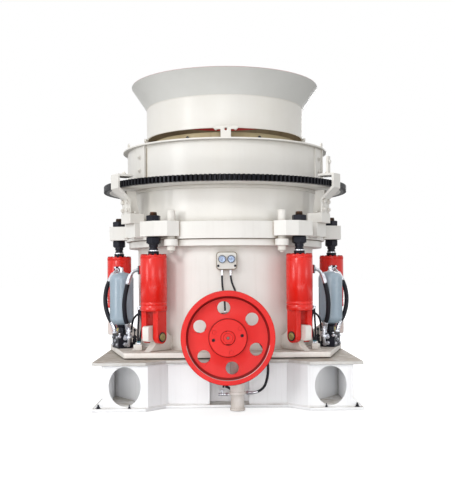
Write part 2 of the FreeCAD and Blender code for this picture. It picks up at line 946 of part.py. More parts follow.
def hub_and_arms():
    """Hub that holds the main shaft, and the arms that carry it in the shell."""
    hub = cylinder("Hub", 0, 0, hub_bottom, S.hub_r, hub_top - hub_bottom)
    arms = []
    for index, azimuth in enumerate((45, -45)):
        bar = box(
            f"Arm{index}", -S.shell_r, -S.arm_thick / 2, arm_bottom,
            S.shell_r * 2, S.arm_thick, arm_top - arm_bottom,
        )
        holder = fuse(f"ArmTurned{index}", bar, cylinder(
            f"ArmHub{index}", 0, 0, arm_bottom, S.hub_r / 2, arm_top - arm_bottom
        ))
        arms.append(turned(holder, azimuth))
    reach = cylinder("ArmReach", 0, 0, arm_bottom - PAST, shell_in, hub_top - arm_bottom + 2 * PAST)
    whole = doc.addObject("Part::Common", "HubInShell")
    whole.Base = fuse("HubArms", hub, *arms)
    whole.Tool = reach
    bore = cylinder("ShaftBore", 0, 0, arm_bottom - PAST, S.shaft_r, hub_top - arm_bottom + 2 * PAST)
    drive = cylinder(
        "HubDriveBore", 0, -S.shell_r, drive_height, S.housing_r, S.shell_r - housing_back, "y"
    )
    return cut("HubAndArms", whole, bore, drive)


node("main_frame_hub", hub_and_arms())

# Main shaft, head, mantle and feed plate
mantle_in_top = S.mantle_top_r - S.mantle_wall
mantle_in_low = mantle_low_r - S.mantle_wall
node("main_shaft", cylinder("MainShaft", 0, 0, shaft_bottom, S.shaft_r, mantle_top - shaft_bottom))
node("head", revolve("Head", [
    (S.shaft_r, hub_top),
    (S.hub_r - S.head_seat_in, hub_top),
    (S.hub_r - S.head_seat_in + S.head_seat_lip, head_bottom),
    (head_low_r - S.head_skirt_in, head_bottom + S.head_skirt),
    (mantle_in_low, mantle_bottom),
    (mantle_in_top, mantle_top),
    (S.shaft_r, mantle_top),
]))
node("mantle", revolve("Mantle", [
    (mantle_in_low, mantle_bottom),
    (mantle_low_r, mantle_bottom),
    (mantle_low_r + S.mantle_edge_out, mantle_bottom + S.mantle_edge),
    (S.mantle_top_r, mantle_top),
    (mantle_in_top, mantle_top),
]))
node("feed_plate", fuse(
    "FeedPlate",
    cylinder("HeadNut", 0, 0, mantle_top, S.head_nut_r, S.head_nut_tall),
    cylinder("FeedDisc", 0, 0, mantle_top + S.head_nut_tall, S.feed_plate_r, S.feed_plate_thick),
))

# Countershaft housing, bearings and the drain that hangs from it
housing_tube = cylinder(
    "HousingTube", 0, -housing_front, drive_height, S.housing_r, housing_front - housing_back, "y"
)
housing_flange = cylinder(
    "HousingFlange", 0, -housing_front, drive_height, S.housing_flange_r, S.housing_flange_thick, "y"
)
housing_bore = cylinder(
    "HousingBore", 0, -housing_front - PAST, drive_height, S.housing_bore_r,
    housing_front - housing_back + 2 * PAST, "y",
)
node("countershaft_housing", cut("Housing", fuse("HousingBody", housing_tube, housing_flange), housing_bore))


def drain_pipe():
    """Oil drain under the housing, with a nipple for a hose and a tap's pipe."""
    upper = cylinder(
        "DrainUpper", S.drain_x, -drain_out, S.drain_step, S.drain_r, drive_height - S.drain_step
    )
    lower = cylinder(
        "DrainLow", S.drain_x, -drain_out, S.drain_low, S.drain_low_r, S.drain_step - S.drain_low + PAST
    )
    nipple = cylinder(
        "DrainNipple", S.drain_x, -drain_out, S.drain_nipple_height, S.drain_nipple_r,
        S.drain_r + S.drain_nipple, "x",
    )
    tap = cylinder(
        "DrainTap", S.drain_x - S.drain_r - S.drain_tap, -drain_out, S.drain_tap_height, S.drain_tap_r,
        S.drain_r + S.drain_tap, "x",
    )
    flange_clear = cylinder(
        "DrainClear", 0, -housing_front - PAST, drive_height, S.housing_flange_r,
        S.housing_flange_thick + PAST, "y",
    )
    tube_clear = cylinder(
        "DrainClearTube", 0, -housing_front, drive_height, S.housing_r,
        housing_front - housing_back, "y",
    )
    return cut("DrainPipe", fuse("DrainBody", upper, lower, nipple, tap), flange_clear, tube_clear)


node("drain_pipe", drain_pipe())


def bearings():
    """Two bearing rings inside the countershaft housing."""
    made = []
    for index, place in enumerate((
        -housing_front + S.bearing_setback,
        -housing_back - S.bearing_setback - S.bearing_width,
    )):
        outer = cylinder(
            f"Bearing{index}", 0, place, drive_height, S.housing_bore_r, S.bearing_width, "y"
        )
        inner = cylinder(
            f"BearingBore{index}", 0, place - PAST, drive_height,
            S.countershaft_r + S.bearing_clear, S.bearing_width + 2 * PAST, "y",
        )
        made.append(cut(f"BearingRing{index}", outer, inner))
    return group("Bearings", made)


node("countershaft_bearings", bearings())
node("countershaft", cylinder(
    "Countershaft", 0, -sheave_front + S.sheave_dish, drive_height, S.countershaft_r,
    sheave_front - S.sheave_dish - housing_back - S.bearing_setback + S.countershaft_past_bearing, "y",
))


def sheave():
    """Grooved belt wheel with a dished web, six holes and a raised hub."""
    front, back = sheave_front, sheave_front - S.sheave_width
    outer, inner = S.sheave_r, S.sheave_r - S.sheave_rim
    web_front = front - S.sheave_dish
    web_back = web_front - S.sheave_web
    hub_front = web_front + S.sheave_hub_proud
    hub_back = hub_front - S.sheave_hub_length
    profile = [
        (S.bush_r, hub_back),
        (S.sheave_hub_r, hub_back),
        (S.sheave_hub_r, web_back),
        (inner, web_back),
        (inner, back),
        (outer, back),
    ]
    pitch = (S.sheave_width - S.groove_land) / S.groove_count
    for index in range(int(number(S.groove_count))):
        low = back + S.groove_land + pitch * index
        root_start, root_end, land = GROOVE_SHARES
        profile += [
            (outer, low),
            (outer - S.groove_deep, low + pitch * root_start),
            (outer - S.groove_deep, low + pitch * root_end),
            (outer, low + pitch * land),
        ]
    profile += [
        (outer, front),
        (inner, front),
        (inner, web_front),
        (S.sheave_hub_r, web_front),
        (S.sheave_hub_r, hub_front),
        (S.bush_r, hub_front),
    ]
    body = revolve("SheaveWheel", profile)
    holes = []
    for index in range(6):
        angle = 90 + S.sheave_hole_first + 60 * index
        x = S.sheave_hole_circle_r * cosine(angle)
        y = S.sheave_hole_circle_r * sine(angle)
        holes.append(cylinder(
            f"SheaveHole{index}", x, y, back - PAST, S.sheave_hole_r, S.sheave_width + 2 * PAST
        ))
    made = cut("Sheave", body, *holes)
    made.Placement = Placement(Vector(), Rotation(Vector(1, 0, 0), 90))
    return locate(made, 0, 0, drive_height)


node("sheave", sheave())
hub_face = sheave_front - S.sheave_dish + S.sheave_hub_proud
node("sheave_bush", cut(
    "SheaveBush",
    cylinder(
        "BushBody", 0, -hub_face - S.bush_proud, drive_height, S.bush_r,
        S.sheave_hub_length + S.bush_proud, "y",
    ),
    cylinder(
        "BushBore", 0, -sheave_front, drive_height, S.countershaft_r,
        S.sheave_dish + S.sheave_hub_length, "y",
    ),
))

# Gauge box on the front of the shell
gauge_front = S.shell_r + S.gauge_box_deep
gauge_body = box(
    "GaugeBox", -S.gauge_box_width / 2, -gauge_front, gauge_box_bottom,
    S.gauge_box_width, S.gauge_box_deep + S.shell_wall / 2, S.gauge_box_tall,
)
node("gauge_box", cut("GaugeBoxSeated", gauge_body, cylinder(
    "GaugeSeat", 0, 0, gauge_box_bottom - PAST, S.shell_r, S.gauge_box_tall + 2 * PAST
)))
gauge_height = gauge_box_bottom + S.gauge_box_tall * S.gauge_share
node("pressure_gauges", group("Gauges", [
    cylinder(
        f"Gauge{index}", S.gauge_spacing * side, -gauge_front - S.gauge_proud, gauge_height,
        S.gauge_r, S.gauge_proud, "y",
    )
    for index, side in enumerate((-0.5, 0.5))
]))

# Release cylinders: barrels with forks, glands, rods, nuts, pins and lugs
RAM_NAMES = ("front_left", "front_right", "side_left", "side_right", "rear_left", "rear_right")
ram_azimuths = [
    -S.ram_first, S.ram_first, Size(-90, "(0-90)"), Size(90, "90"), S.ram_first - 180, 180 - S.ram_first
]
ram_ports = [-1, 1, 1, -1, -1, 1]


def ram_barrel(index):
    """One release cylinder: barrel, port block and the fork at its foot."""
    y = -ram_circle_r
    fork_half = S.fork_gap / 2 + S.fork_thick
    barrel = cylinder(f"Barrel{index}", 0, y, ram_bottom, S.ram_r, ram_top - ram_bottom)
    prongs = []
    for side, x in enumerate((-fork_half, S.fork_gap / 2)):
        prongs.append(box(
            f"Prong{index}_{side}", x, y - S.fork_width / 2, fork_pin_height,
            S.fork_thick, S.fork_width, ram_bottom - fork_pin_height + PAST,
        ))
        prongs.append(cylinder(
            f"ProngEnd{index}_{side}", x, y, fork_pin_height, S.fork_width / 2, S.fork_thick, "x"
        ))
    port_x = S.ram_r - S.port_bite
    port = box(
        f"Port{index}", port_x if ram_ports[index] > 0 else -S.ram_r - S.port_out,
        y - S.port_width / 2, port_height - S.port_tall / 2,
        S.port_out + S.port_bite, S.port_width, S.port_tall,
    )
    bore = cylinder(
        f"Bore{index}", 0, y, ram_bore_bottom, S.ram_bore_r, ram_top - ram_bore_bottom + PAST
    )
    pin = cylinder(
        f"PinHole{index}", -fork_half - PAST, y, fork_pin_height, S.clevis_pin_r,
        fork_half * 2 + 2 * PAST, "x",
    )
    made = cut(f"Ram{index}", fuse(f"RamBody{index}", barrel, port, *prongs), bore, pin)
    return turned(made, ram_azimuths[index])


for ram, ram_name in enumerate(RAM_NAMES):
    node(f"release_cylinder_{ram_name}", ram_barrel(ram))


def around(name, build, azimuths):
    """One piece made of like solids, one at each azimuth."""
    return group(name, [turned(build(index), azimuth) for index, azimuth in enumerate(azimuths)])


def gland(index):
    """Gland and wiper ring on top of a cylinder, bored for its rod."""
    y = -ram_circle_r
    body = fuse(
        f"GlandBody{index}",
        cylinder(f"GlandPlug{index}", 0, y, ram_top - S.gland_plug, S.ram_bore_r, S.gland_plug),
        cylinder(f"GlandCap{index}", 0, y, ram_top, S.gland_r, gland_top - ram_top),
        cylinder(f"GlandRing{index}", 0, y, gland_top, S.gland_ring_r, gland_ring_top - gland_top),
    )
    return cut(f"Gland{index}", body, cylinder(
        f"GlandBore{index}", 0, y, ram_top - S.gland_plug - PAST, S.rod_r + S.gland_bore_clear,
        gland_ring_top - ram_top + S.gland_plug + 2 * PAST,
    ))


node("cylinder_glands", around("Glands", gland, ram_azimuths))


def clevis_pin(index):
    """Pin through a cylinder's fork and its lug, with a head at each end."""
    y = -ram_circle_r
    fork_half = S.fork_gap / 2 + S.fork_thick
    return fuse(
        f"ClevisPin{index}",
        cylinder(f"ClevisBar{index}", -fork_half, y, fork_pin_height, S.clevis_pin_r, fork_half * 2, "x"),
        cylinder(
            f"ClevisHead{index}", fork_half, y, fork_pin_height, S.clevis_head_r, S.clevis_pin_proud, "x"
        ),
        cylinder(
            f"ClevisEnd{index}", -fork_half - S.clevis_pin_proud, y, fork_pin_height,
            S.clevis_head_r, S.clevis_pin_proud, "x",
        ),
    )


node("clevis_pins", around("ClevisPins", clevis_pin, ram_azimuths))


def lug(index):
    """Hooked lug of the main frame that a cylinder's fork straddles."""
    body = doc.addObject("PartDesign::Body", f"Lug{index}")
    sketch = sketch_on(body, f"Lug{index}_profile", "YZ_Plane")
    draw_polygon(sketch, [
        (-S.shell_r, foot_high),
        (-lug_foot, foot_high),
        (-lug_waist, foot_high + S.lug_heel),
        (-lug_waist, lug_nose_bottom - S.lug_nose_chamfer),
        (-lug_waist - S.lug_nose_chamfer_out, lug_nose_bottom),
        (-lug_out, lug_nose_bottom),
        (-lug_out, lug_top),
        (-S.shell_r, lug_root_top),
    ])
    made = body.newObject("PartDesign::Pad", f"Lug{index}_plate")
    made.Profile = sketch
    bind(made, "Length", S.lug_thick)
    made.Midplane = True
    body.Tip = made
    seat = cylinder(
        f"LugSeat{index}", 0, 0, foot_high - PAST, S.shell_r, lug_root_top - foot_high + 2 * PAST
    )
    hole = cylinder(
        f"LugHole{index}", -S.lug_thick, -ram_circle_r, fork_pin_height, S.clevis_pin_r,
        S.lug_thick * 2, "x",
    )
    return cut(f"LugSolid{index}", body, seat, hole)


node("cylinder_lugs", around("Lugs", lug, ram_azimuths))


def rod(index):
    """Piston rod, which lifts with the adjustment ring."""
    y = -ram_circle_r
    return fuse(
        f"Rod{index}",
        cylinder(f"RodBar{index}", 0, y, rod_bottom, S.rod_r, rod_top - rod_bottom),
        cylinder(f"Piston{index}", 0, y, rod_bottom, S.piston_r, S.piston_tall),
    )


node("release_rods", around("Rods", rod, ram_azimuths))


def hexagon(name, y, low, high, across, bore):
    """Hexagonal nut on a rod at the front."""
    corner = across / (cosine(30) * 2)
    outline = [
        (corner * cosine(60 * k), y + corner * sine(60 * k)) for k in range(6)
    ]
    return pad(name, low, high - low, outline, [(0, y, bore)])


def lower_nut(index):
    """Nut under an ear."""
    return hexagon(
        f"LowerNut{index}", -ram_circle_r, lower_nut_bottom, ear_bottom, S.nut_across, S.rod_r
    )


def upper_nut(index):
    """Nut on top of an ear."""
    return hexagon(
        f"UpperNut{index}", -ram_circle_r, ear_top, upper_nut_top, S.nut_across, S.rod_r
    )


node("rod_nuts", group("RodNuts", [
    turned(build(index), azimuth)
    for index, azimuth in enumerate(ram_azimuths)
    for build in (lower_nut, upper_nut)
]))


# Adjustment ring with its ears, and the tower that holds the bowl
def ear(index):
    """Ear of the adjustment ring over a cylinder; four also hold a guide pin."""
    side = [1, -1, 0, 0, -1, 1][index]
    y_out, y_root = -ear_out, -ear_root
    tall = ear_top - ear_bottom
    if side == 0:
        outline = [
            (-S.ear_root_half, y_root),
            (-S.ear_half, y_out),
            (S.ear_half, y_out),
            (S.ear_root_half, y_root),
            (0, -tower_r - S.ear_tower_gap),
        ]
    else:
        outline = [
            (-S.ear_root_half * side, y_root),
            (-S.ear_half * side, y_out),
            (S.ear_half * side, y_out),
            (S.pin_ear_side * side, -pin_ear_out),
            (S.pin_ear_root_side * side, -pin_ear_root),
            ((S.pin_ear_root_side - S.pin_ear_tuck) * side, -tower_r),
            (0, -tower_r - S.ear_tower_gap),
        ]
    return turned(pad(f"Ear{index}", ear_bottom, tall, outline), ram_azimuths[index])


def bracket_places():
    """Azimuths of the four gear brackets."""
    return [-S.bracket_azimuth, S.bracket_azimuth, 180 - S.bracket_azimuth, S.bracket_azimuth - 180]


def adjustment_ring():
    """Flange ring with six ears, bored for the rods and the guide pins."""
    plain = revolve("AdjustRing", [
        (tower_in, ring_bottom),
        (ring_seat_r, ring_bottom),
        (ring_seat_r, ring_bottom + S.ring_groove),
        (ring_r, ring_bottom + S.ring_groove),
        (ring_r, ring_top),
        (tower_in, ring_top),
    ])
    ears = [ear(index) for index in range(6)]
    lobes = []
    for index, azimuth in enumerate(bracket_places()):
        lobe = box(
            f"BracketLobe{index}", -S.bracket_block_width / 2, -bracket_lobe_out, ear_bottom,
            S.bracket_block_width, bracket_lobe_out - tower_r, ring_top - ear_bottom,
        )
        root = box(
            f"BracketLobeRoot{index}", -S.bracket_block_width / 4, -ring_r, ear_bottom,
            S.bracket_block_width / 2, ring_r - tower_r + S.ear_bite, ring_top - ear_bottom,
        )
        lobes.append(turned(fuse(f"BracketLobeHeld{index}", lobe, root), azimuth))
    holes = []
    for index, azimuth in enumerate(ram_azimuths):
        x = ram_circle_r * sine(azimuth)
        y = -ram_circle_r * cosine(azimuth)
        holes.append(cylinder(
            f"RodHole{index}", x, y, ear_bottom - PAST, S.rod_r + S.rod_hole_clear,
            ear_top - ear_bottom + 2 * PAST,
        ))
    for index, azimuth in enumerate(pin_places()):
        x = pin_circle_r * sine(azimuth)
        y = -pin_circle_r * cosine(azimuth)
        holes.append(cylinder(
            f"PinEarHole{index}", x, y, ring_bottom - PAST, S.pin_r + S.pin_clear,
            ear_top - ring_bottom + 2 * PAST,
        ))
    return cut("AdjustmentRing", fuse("AdjustBody", plain, *ears, *lobes), *holes)


node("adjustment_ring", adjustment_ring())
node("adjustment_tower", revolve("Tower", [
    (tower_in, ring_top),
    (tower_r, ring_top),
    (tower_r, tower_top - S.tower_lip),
    (tower_lip_r, tower_top - S.tower_lip),
    (tower_lip_r, tower_top),
    (tower_in, tower_top),
]))


def bracket(index):
    """Bent bar that reaches round the gear ring, on a rib and a block."""
    wall_in = gear_r + S.bracket_gear_clear
    wall_out = wall_in + S.bracket_bar
    bar = S.bracket_bar
    body = doc.addObject("PartDesign::Body", f"BracketBar{index}")
    sketch = sketch_on(body, f"BracketBar{index}_profile", "YZ_Plane")
    draw_polygon(sketch, [
        (-bracket_tab_inner, bracket_tab_bottom),
        (-wall_in, bracket_tab_bottom),
        (-wall_in, bracket_wall_bottom + bar / 2),
        (-bracket_plate_out + bar, bracket_plate_top),
        (-bracket_plate_out + bar, bracket_block_top),
        (-bracket_plate_out, bracket_block_top),
        (-bracket_plate_out, bracket_plate_top - bar / 2),
        (-wall_out, bracket_wall_bottom),
        (-wall_out, bracket_tab_bottom + bar),
        (-bracket_tab_inner, bracket_tab_bottom + bar),
    ])
    made = body.newObject("PartDesign::Pad", f"BracketBar{index}_plate")
    made.Profile = sketch
    bind(made, "Length", S.bracket_width)
    made.Midplane = True
    body.Tip = made
    rib_body = doc.addObject("PartDesign::Body", f"BracketRib{index}")
    rib_sketch = sketch_on(rib_body, f"BracketRib{index}_profile", "YZ_Plane")
    draw_polygon(rib_sketch, [
        (-bracket_rib_inner, bracket_block_top),
        (-bracket_plate_out + bar, bracket_block_top),
        (-bracket_plate_out + bar, bracket_plate_top),
        (-bracket_plate_out + bar - S.bracket_rib_round, bracket_rib_top),
        (-bracket_rib_inner - S.bracket_rib_slope, bracket_rib_top),
    ])
    rib = rib_body.newObject("PartDesign::Pad", f"BracketRib{index}_plate")
    rib.Profile = rib_sketch
    bind(rib, "Length", S.bracket_rib_thick)
    rib.Midplane = True
    rib_body.Tip = rib
    block = box(
        f"BracketBlock{index}", -S.bracket_block_width / 2, -bracket_plate_out, ring_top,
        S.bracket_block_width, S.bracket_block_deep, bracket_block_top - ring_top,
    )
    return fuse(f"Bracket{index}", body, rib_body, block)


node("gear_brackets", around("Brackets", bracket, bracket_places()))
node("stop_arm", turned(group("StopArmHeld", [box(
    "StopArm", -S.bracket_stop_width / 2, -bracket_stop_out, bracket_tab_bottom + S.bracket_bar,
    S.bracket_stop_width, S.bracket_bar, bracket_stop_top - bracket_tab_bottom - S.bracket_bar,
)]), S.bracket_azimuth))


# Accumulators on their manifolds, between the cylinders
bottle_azimuths = [-S.bottle_azimuth, S.bottle_azimuth, Size(180, "180")]
bottle_circles = [bottle_circle_r, bottle_circle_r, rear_bottle_circle_r]
manifold_circles = [bottle_circle_r, bottle_circle_r, rear_manifold_circle_r]
manifold_top = bottle_bottom - S.bottle_neck


def bottle(index):
    """Gas bottle with domed ends, a neck below and a filling stem on top."""
    body = revolve(f"Bottle{index}", [
        (0, manifold_top),
        (S.bottle_neck_r, manifold_top),
        (S.bottle_neck_r, bottle_bottom + S.bottle_dome * NECK_SHARE),
        (S.bottle_r * DOME_R_SHARE, bottle_bottom + S.bottle_dome * DOME_SHARE),
        (S.bottle_r, bottle_bottom + S.bottle_dome),
        (S.bottle_r, bottle_top - S.bottle_dome),
        (S.bottle_r * DOME_R_SHARE, bottle_top - S.bottle_dome * DOME_SHARE),
        (S.bottle_stem_r, bottle_top),
        (S.bottle_stem_r, bottle_top + S.bottle_stem),
        (0, bottle_top + S.bottle_stem),
    ])
    azimuth, circle = bottle_azimuths[index], bottle_circles[index]
    return locate(body, circle * sine(azimuth), -circle * cosine(azimuth))


node("accumulators", group("Bottles", [bottle(index) for index in range(3)]))


def manifold(index):
    """Valve block under a bottle, standing on the foot of the main frame."""
    return group(f"ManifoldHeld{index}", [box(
        f"Manifold{index}", -S.manifold_width / 2, -manifold_circles[index] - S.manifold_deep / 2,
        foot_high, S.manifold_width, S.manifold_deep, manifold_top - foot_high,
    )])


node("accumulator_manifolds", around("Manifolds", manifold, bottle_azimuths))

# Gear ring, bowl and liner


def gear_ring():
    """Flat ring with straight teeth round its rim."""
    count = int(number(S.gear_teeth))
    tip, root = number(gear_r), number(gear_r - S.gear_tooth)
    points = []
    root_end, tip_start, tip_end = TOOTH_SHARES
    for index in range(count):
        for share, radius in ((0, root), (root_end, root), (tip_start, tip), (tip_end, tip)):
            angle = math.radians(360 * (index + share) / count)
            x, y = radius * math.cos(angle), radius * math.sin(angle)
            points.append(Vector(x, y, number(gear_bottom)))
    outline = Part.Face(Part.makePolygon(points + points[:1]))
    made = doc.addObject("Part::Feature", "GearTeeth")
    made.Shape = outline.extrude(Vector(0, 0, number(S.gear_thick)))
    bore = cylinder("GearBore", 0, 0, gear_bottom - PAST, gear_bore_r, S.gear_thick + 2 * PAST)
    return cut("GearRing", made, bore)


node("gear_ring", gear_ring())
liner_seat_r = liner_top_r + S.liner_wall + S.bowl_seat
liner_out_low = liner_low_r + S.liner_wall
node("bowl", revolve("Bowl", [
    (liner_out_low, bowl_bottom),
    (bowl_low_r, bowl_bottom),
    (bowl_r, bowl_bottom + S.bowl_taper),
    (bowl_r, gear_top),
    (bowl_flange_r, gear_top),
    (bowl_flange_r, bowl_top),
    (liner_seat_r, bowl_top),
    (liner_out_low, liner_bottom + S.liner_lip),
]))
node("bowl_liner", revolve("Liner", [
    (liner_low_r, liner_bottom),
    (liner_out_low, liner_bottom + S.liner_lip),
    (liner_seat_r, bowl_top),
    (liner_seat_r, liner_top),
    (liner_top_r + S.liner_top_edge, liner_top),
    (liner_top_r, bowl_top),
    (liner_low_r - S.liner_parallel_in, liner_bottom + S.liner_parallel),
]))

# Cap, feed ring and hopper
cap_in = cap_r - S.cap_wall


def cap_ring():
    """Cap shell on the gear ring, with lap plates and bars at its three joints."""
    shell = revolve("CapShell", [
        (cap_in, gear_top),
        (cap_r, gear_top),
        (cap_r, cap_top - S.cap_plate),
        (cap_flange_r, cap_top - S.cap_plate),
        (cap_flange_r, cap_top),
        (feed_ring_r, cap_top),
        (feed_ring_r, cap_top - S.cap_plate),
        (cap_in, cap_top - S.cap_plate),
    ])
    tall = cap_top - S.cap_plate - gear_top
    joints = []
    for index in range(3):
        azimuth = S.cap_joint_first + 120 * index
        outer = ring(f"LapOuter{index}", cap_in, cap_r + S.cap_joint_thick, gear_top, gear_top + tall)
        window = box(
            f"LapWindow{index}", -S.cap_joint_width, -cap_r * 2, gear_top,
            S.cap_joint_width, cap_r * 2, tall,
        )
        lap = doc.addObject("Part::Common", f"Lap{index}")
        lap.Base = outer
        lap.Tool = window
        bar = box(
            f"LapBar{index}", 0, -cap_r - S.cap_joint_bar_out, gear_top,
            S.cap_joint_bar, S.cap_joint_bar_out + S.cap_wall, tall,
        )
        joints.append(turned(fuse(f"Joint{index}", lap, bar), azimuth))
    return fuse("CapRing", shell, *joints)


node("cap_ring", cap_ring())


def eye(index):
    """Lifting eye on the rim of the cap."""
    plate = fuse(
        f"EyePlate{index}",
        box(
            f"EyeFoot{index}", -S.eye_width / 2, -eye_circle_r - S.eye_thick / 2, cap_top,
            S.eye_width, S.eye_thick, S.eye_tall - S.eye_width / 2,
        ),
        cylinder(
            f"EyeRound{index}", 0, -eye_circle_r - S.eye_thick / 2,
            cap_top + S.eye_tall - S.eye_width / 2, S.eye_width / 2, S.eye_thick, "y",
        ),
    )
    return cut(f"Eye{index}", plate, cylinder(
        f"EyeHole{index}", 0, -eye_circle_r - S.eye_thick, cap_top + S.eye_tall - S.eye_width / 2,
        S.eye_hole_r, S.eye_thick * 2, "y",
    ))


eye_azimuths = [-S.eye_azimuth, S.eye_azimuth, 180 - S.eye_azimuth, S.eye_azimuth - 180]
node("lifting_eyes", around("Eyes", eye, eye_azimuths))
node("feed_ring", ring(
    "FeedRing", feed_ring_r - S.feed_ring_wall, feed_ring_r, bowl_top, feed_ring_top
))
node("hopper", revolve("Hopper", [
    (hopper_r - S.hopper_wall, hopper_bottom),
    (hopper_r, hopper_bottom),
    (hopper_r, hopper_kink),
    (hopper_top_r, hopper_top),
    (hopper_top_r - S.hopper_wall, hopper_top),
    (hopper_r - S.hopper_wall, hopper_kink + S.hopper_wall / 2),
]))


def hopper_lug(index):
    """T-shaped lug that stands on the cap and carries the hopper."""
    stem = box(
        f"HopperStem{index}", -S.hopper_lug_width / 2, -hopper_r - S.hopper_lug_thick, cap_top,
        S.hopper_lug_width, S.hopper_lug_thick + S.hopper_wall * 2, hopper_bottom - cap_top,
    )
    face_tall = hopper_lug_top - hopper_bottom + S.hopper_lug_ear_r
    face = box(
        f"HopperFace{index}", -S.hopper_lug_width / 2 - S.hopper_lug_ear,
        -hopper_r - S.hopper_lug_thick, hopper_lug_top - face_tall,
        S.hopper_lug_width + S.hopper_lug_ear * 2, S.hopper_lug_thick, face_tall,
    )
    ears = [
        cylinder(
            f"HopperEar{index}_{side}", (S.hopper_lug_width / 2 + S.hopper_lug_ear) * sign,
            -hopper_r - S.hopper_lug_thick, hopper_lug_top - face_tall / 2, face_tall / 2,
            S.hopper_lug_thick, "y",
        )
        for side, sign in enumerate((-1, 1))
    ]
    hole = cylinder(
        f"HopperLugHole{index}", 0, -hopper_r - S.hopper_lug_thick - 1,
        hopper_bottom - S.hopper_lug_ear_r, S.hopper_lug_hole_r, S.hopper_lug_thick * 4, "y",
    )
    return cut(f"HopperLug{index}", fuse(f"HopperLugBody{index}", stem, face, *ears), hole)


node("hopper_lugs", around("HopperLugs", hopper_lug, [0, 90, 180, 270]))

# Hoses from the manifolds to the cylinders
LEFT_HOSES = {
    "outer": [
        (-973, -373, 556.3), (-973, -373, 612), (-1032, -356, 692), (-1066, -334, 820),
        (-1058, -304, 950), (-1008, -262, 1064), (-977, -222, 1106), (-977, -171.3, 1106),
    ],
    "inner": [
        (-736.5, -664.4, 1106), (-772, -636.6, 1106), (-810, -618, 1062), (-840, -606, 975),
        (-868, -584, 840), (-866, -556, 705), (-845, -490, 616), (-845, -490, 556.3),
    ],
    "rear": [
        (-466.6, 875.4, 1106), (-431, 903.1, 1106), (-395, 918, 1062), (-348, 930, 980),
        (-292, 928, 885), (-218, 908, 788), (-134, 864, 702), (-66, 838, 630), (-66, 838, 556.3),
    ],
}
# Thin hoses from the gauges down to the housing, and the drain's hose
GAUGE_HOSES = {
    "left": [
        (-39, -828, 1102.7), (-39, -829, 1045), (-37, -832, 980), (-28, -838, 915),
        (-18, -850, 850), (-16, -866, 785), (-16, -870, 731.9),
    ],
    "right": [
        (31, -828, 1102.7), (31, -829, 1045), (45, -833, 985), (72, -840, 925),
        (86, -852, 862), (74, -872, 800), (60, -880, 755), (60, -880, 722.9),
    ],
}
DRAIN_HOSE = [
    (187.3, -1128, 140.6), (222, -1128, 141), (283, -1128, 176), (311, -1126, 255),
    (317, -1122, 355), (298, -1114, 455), (248, -1104, 540), (198, -1100, 587), (145.3, -1100, 587),
]


def hoses():
    """Pressure hoses of both sides and the rear."""
    made = []
    for name, points in LEFT_HOSES.items():
        made.append(tube(f"Hose_{name}_left", points, number(S.hose_r)))
        made.append(tube(f"Hose_{name}_right", [(-x, y, z) for x, y, z in points], number(S.hose_r)))
    return group("Hoses", made)


node("pressure_hoses", hoses())
node("service_hoses", group("ServiceHoses", [
    tube("Hose_gauge_left", GAUGE_HOSES["left"], number(S.gauge_hose_r)),
    tube("Hose_gauge_right", GAUGE_HOSES["right"], number(S.gauge_hose_r)),
    tube("Hose_drain", DRAIN_HOSE, number(S.drain_hose_r)),
]))

# Check and write
doc.recompute()
faults = []
for thing in doc.Objects:
    state = [word for word in thing.State if word in ("Invalid", "Error")]
    if state:
        faults.append(f"{thing.Name} ({thing.Label}): {state}")
for label, thing in NODES.items():
    shape = thing.Shape
    if shape.isNull() or not shape.isValid() or not shape.Solids:
        faults.append(f"{label}: its shape is empty or not valid")
if faults:
    raise RuntimeError("; ".join(faults))
os.makedirs("parts", exist_ok=True)
for label, thing in NODES.items():
    thing.Shape.exportStep(f"parts/{label}.step")
    print(f"{label}: {len(thing.Shape.Solids)} solids, {thing.Shape.Volume / 1e9:.4f} m3")
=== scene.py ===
"""The looks of the cone crusher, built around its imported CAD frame.

The sheave faces -Y, +X is to its right and +Z is up. Sizes are in millimetres until a mesh is made.
An azimuth is an angle about the vertical axis, 0 at the front and positive towards +X.
"""

import logging
import math
from collections.abc import Callable, Sequence
from dataclasses import dataclass
from enum import Enum
from functools import cache
from typing import Any

import bmesh
import bpy
from mathutils import Matrix, Vector

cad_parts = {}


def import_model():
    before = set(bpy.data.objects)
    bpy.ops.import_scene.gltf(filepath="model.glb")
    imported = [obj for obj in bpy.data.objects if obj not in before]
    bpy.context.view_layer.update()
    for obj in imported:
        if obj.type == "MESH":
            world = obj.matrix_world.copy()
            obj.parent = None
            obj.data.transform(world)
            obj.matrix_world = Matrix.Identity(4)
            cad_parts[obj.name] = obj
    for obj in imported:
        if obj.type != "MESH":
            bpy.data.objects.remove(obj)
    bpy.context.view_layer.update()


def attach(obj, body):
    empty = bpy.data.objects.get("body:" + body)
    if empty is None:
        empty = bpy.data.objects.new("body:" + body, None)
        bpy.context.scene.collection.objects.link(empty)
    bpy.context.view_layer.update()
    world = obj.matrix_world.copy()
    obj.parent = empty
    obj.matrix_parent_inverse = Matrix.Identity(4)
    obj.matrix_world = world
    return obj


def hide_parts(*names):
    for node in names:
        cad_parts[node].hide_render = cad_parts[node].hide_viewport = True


LOG = logging.getLogger("crusher")
METRES = 0.001
SIDES = (-1, 1)
Point = tuple[float, float, float]
Profile = Sequence[tuple[float, float]]
Colour = tuple[int, int, int]
Ring = list[bmesh.types.BMVert]

RUST: Colour = (112, 62, 34)
DUST: Colour = (150, 138, 120)
WEATHERED_ROUGHNESS = 0.85
LACQUER_ROUGHNESS = 0.12
MARK_SHADE = 0.72


class Body(Enum):
    """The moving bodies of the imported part."""

    ROOT = "root"
    RING = "adjustment_assembly"
    BOWL = "bowl_assembly"
    DRIVE = "countershaft_assembly"


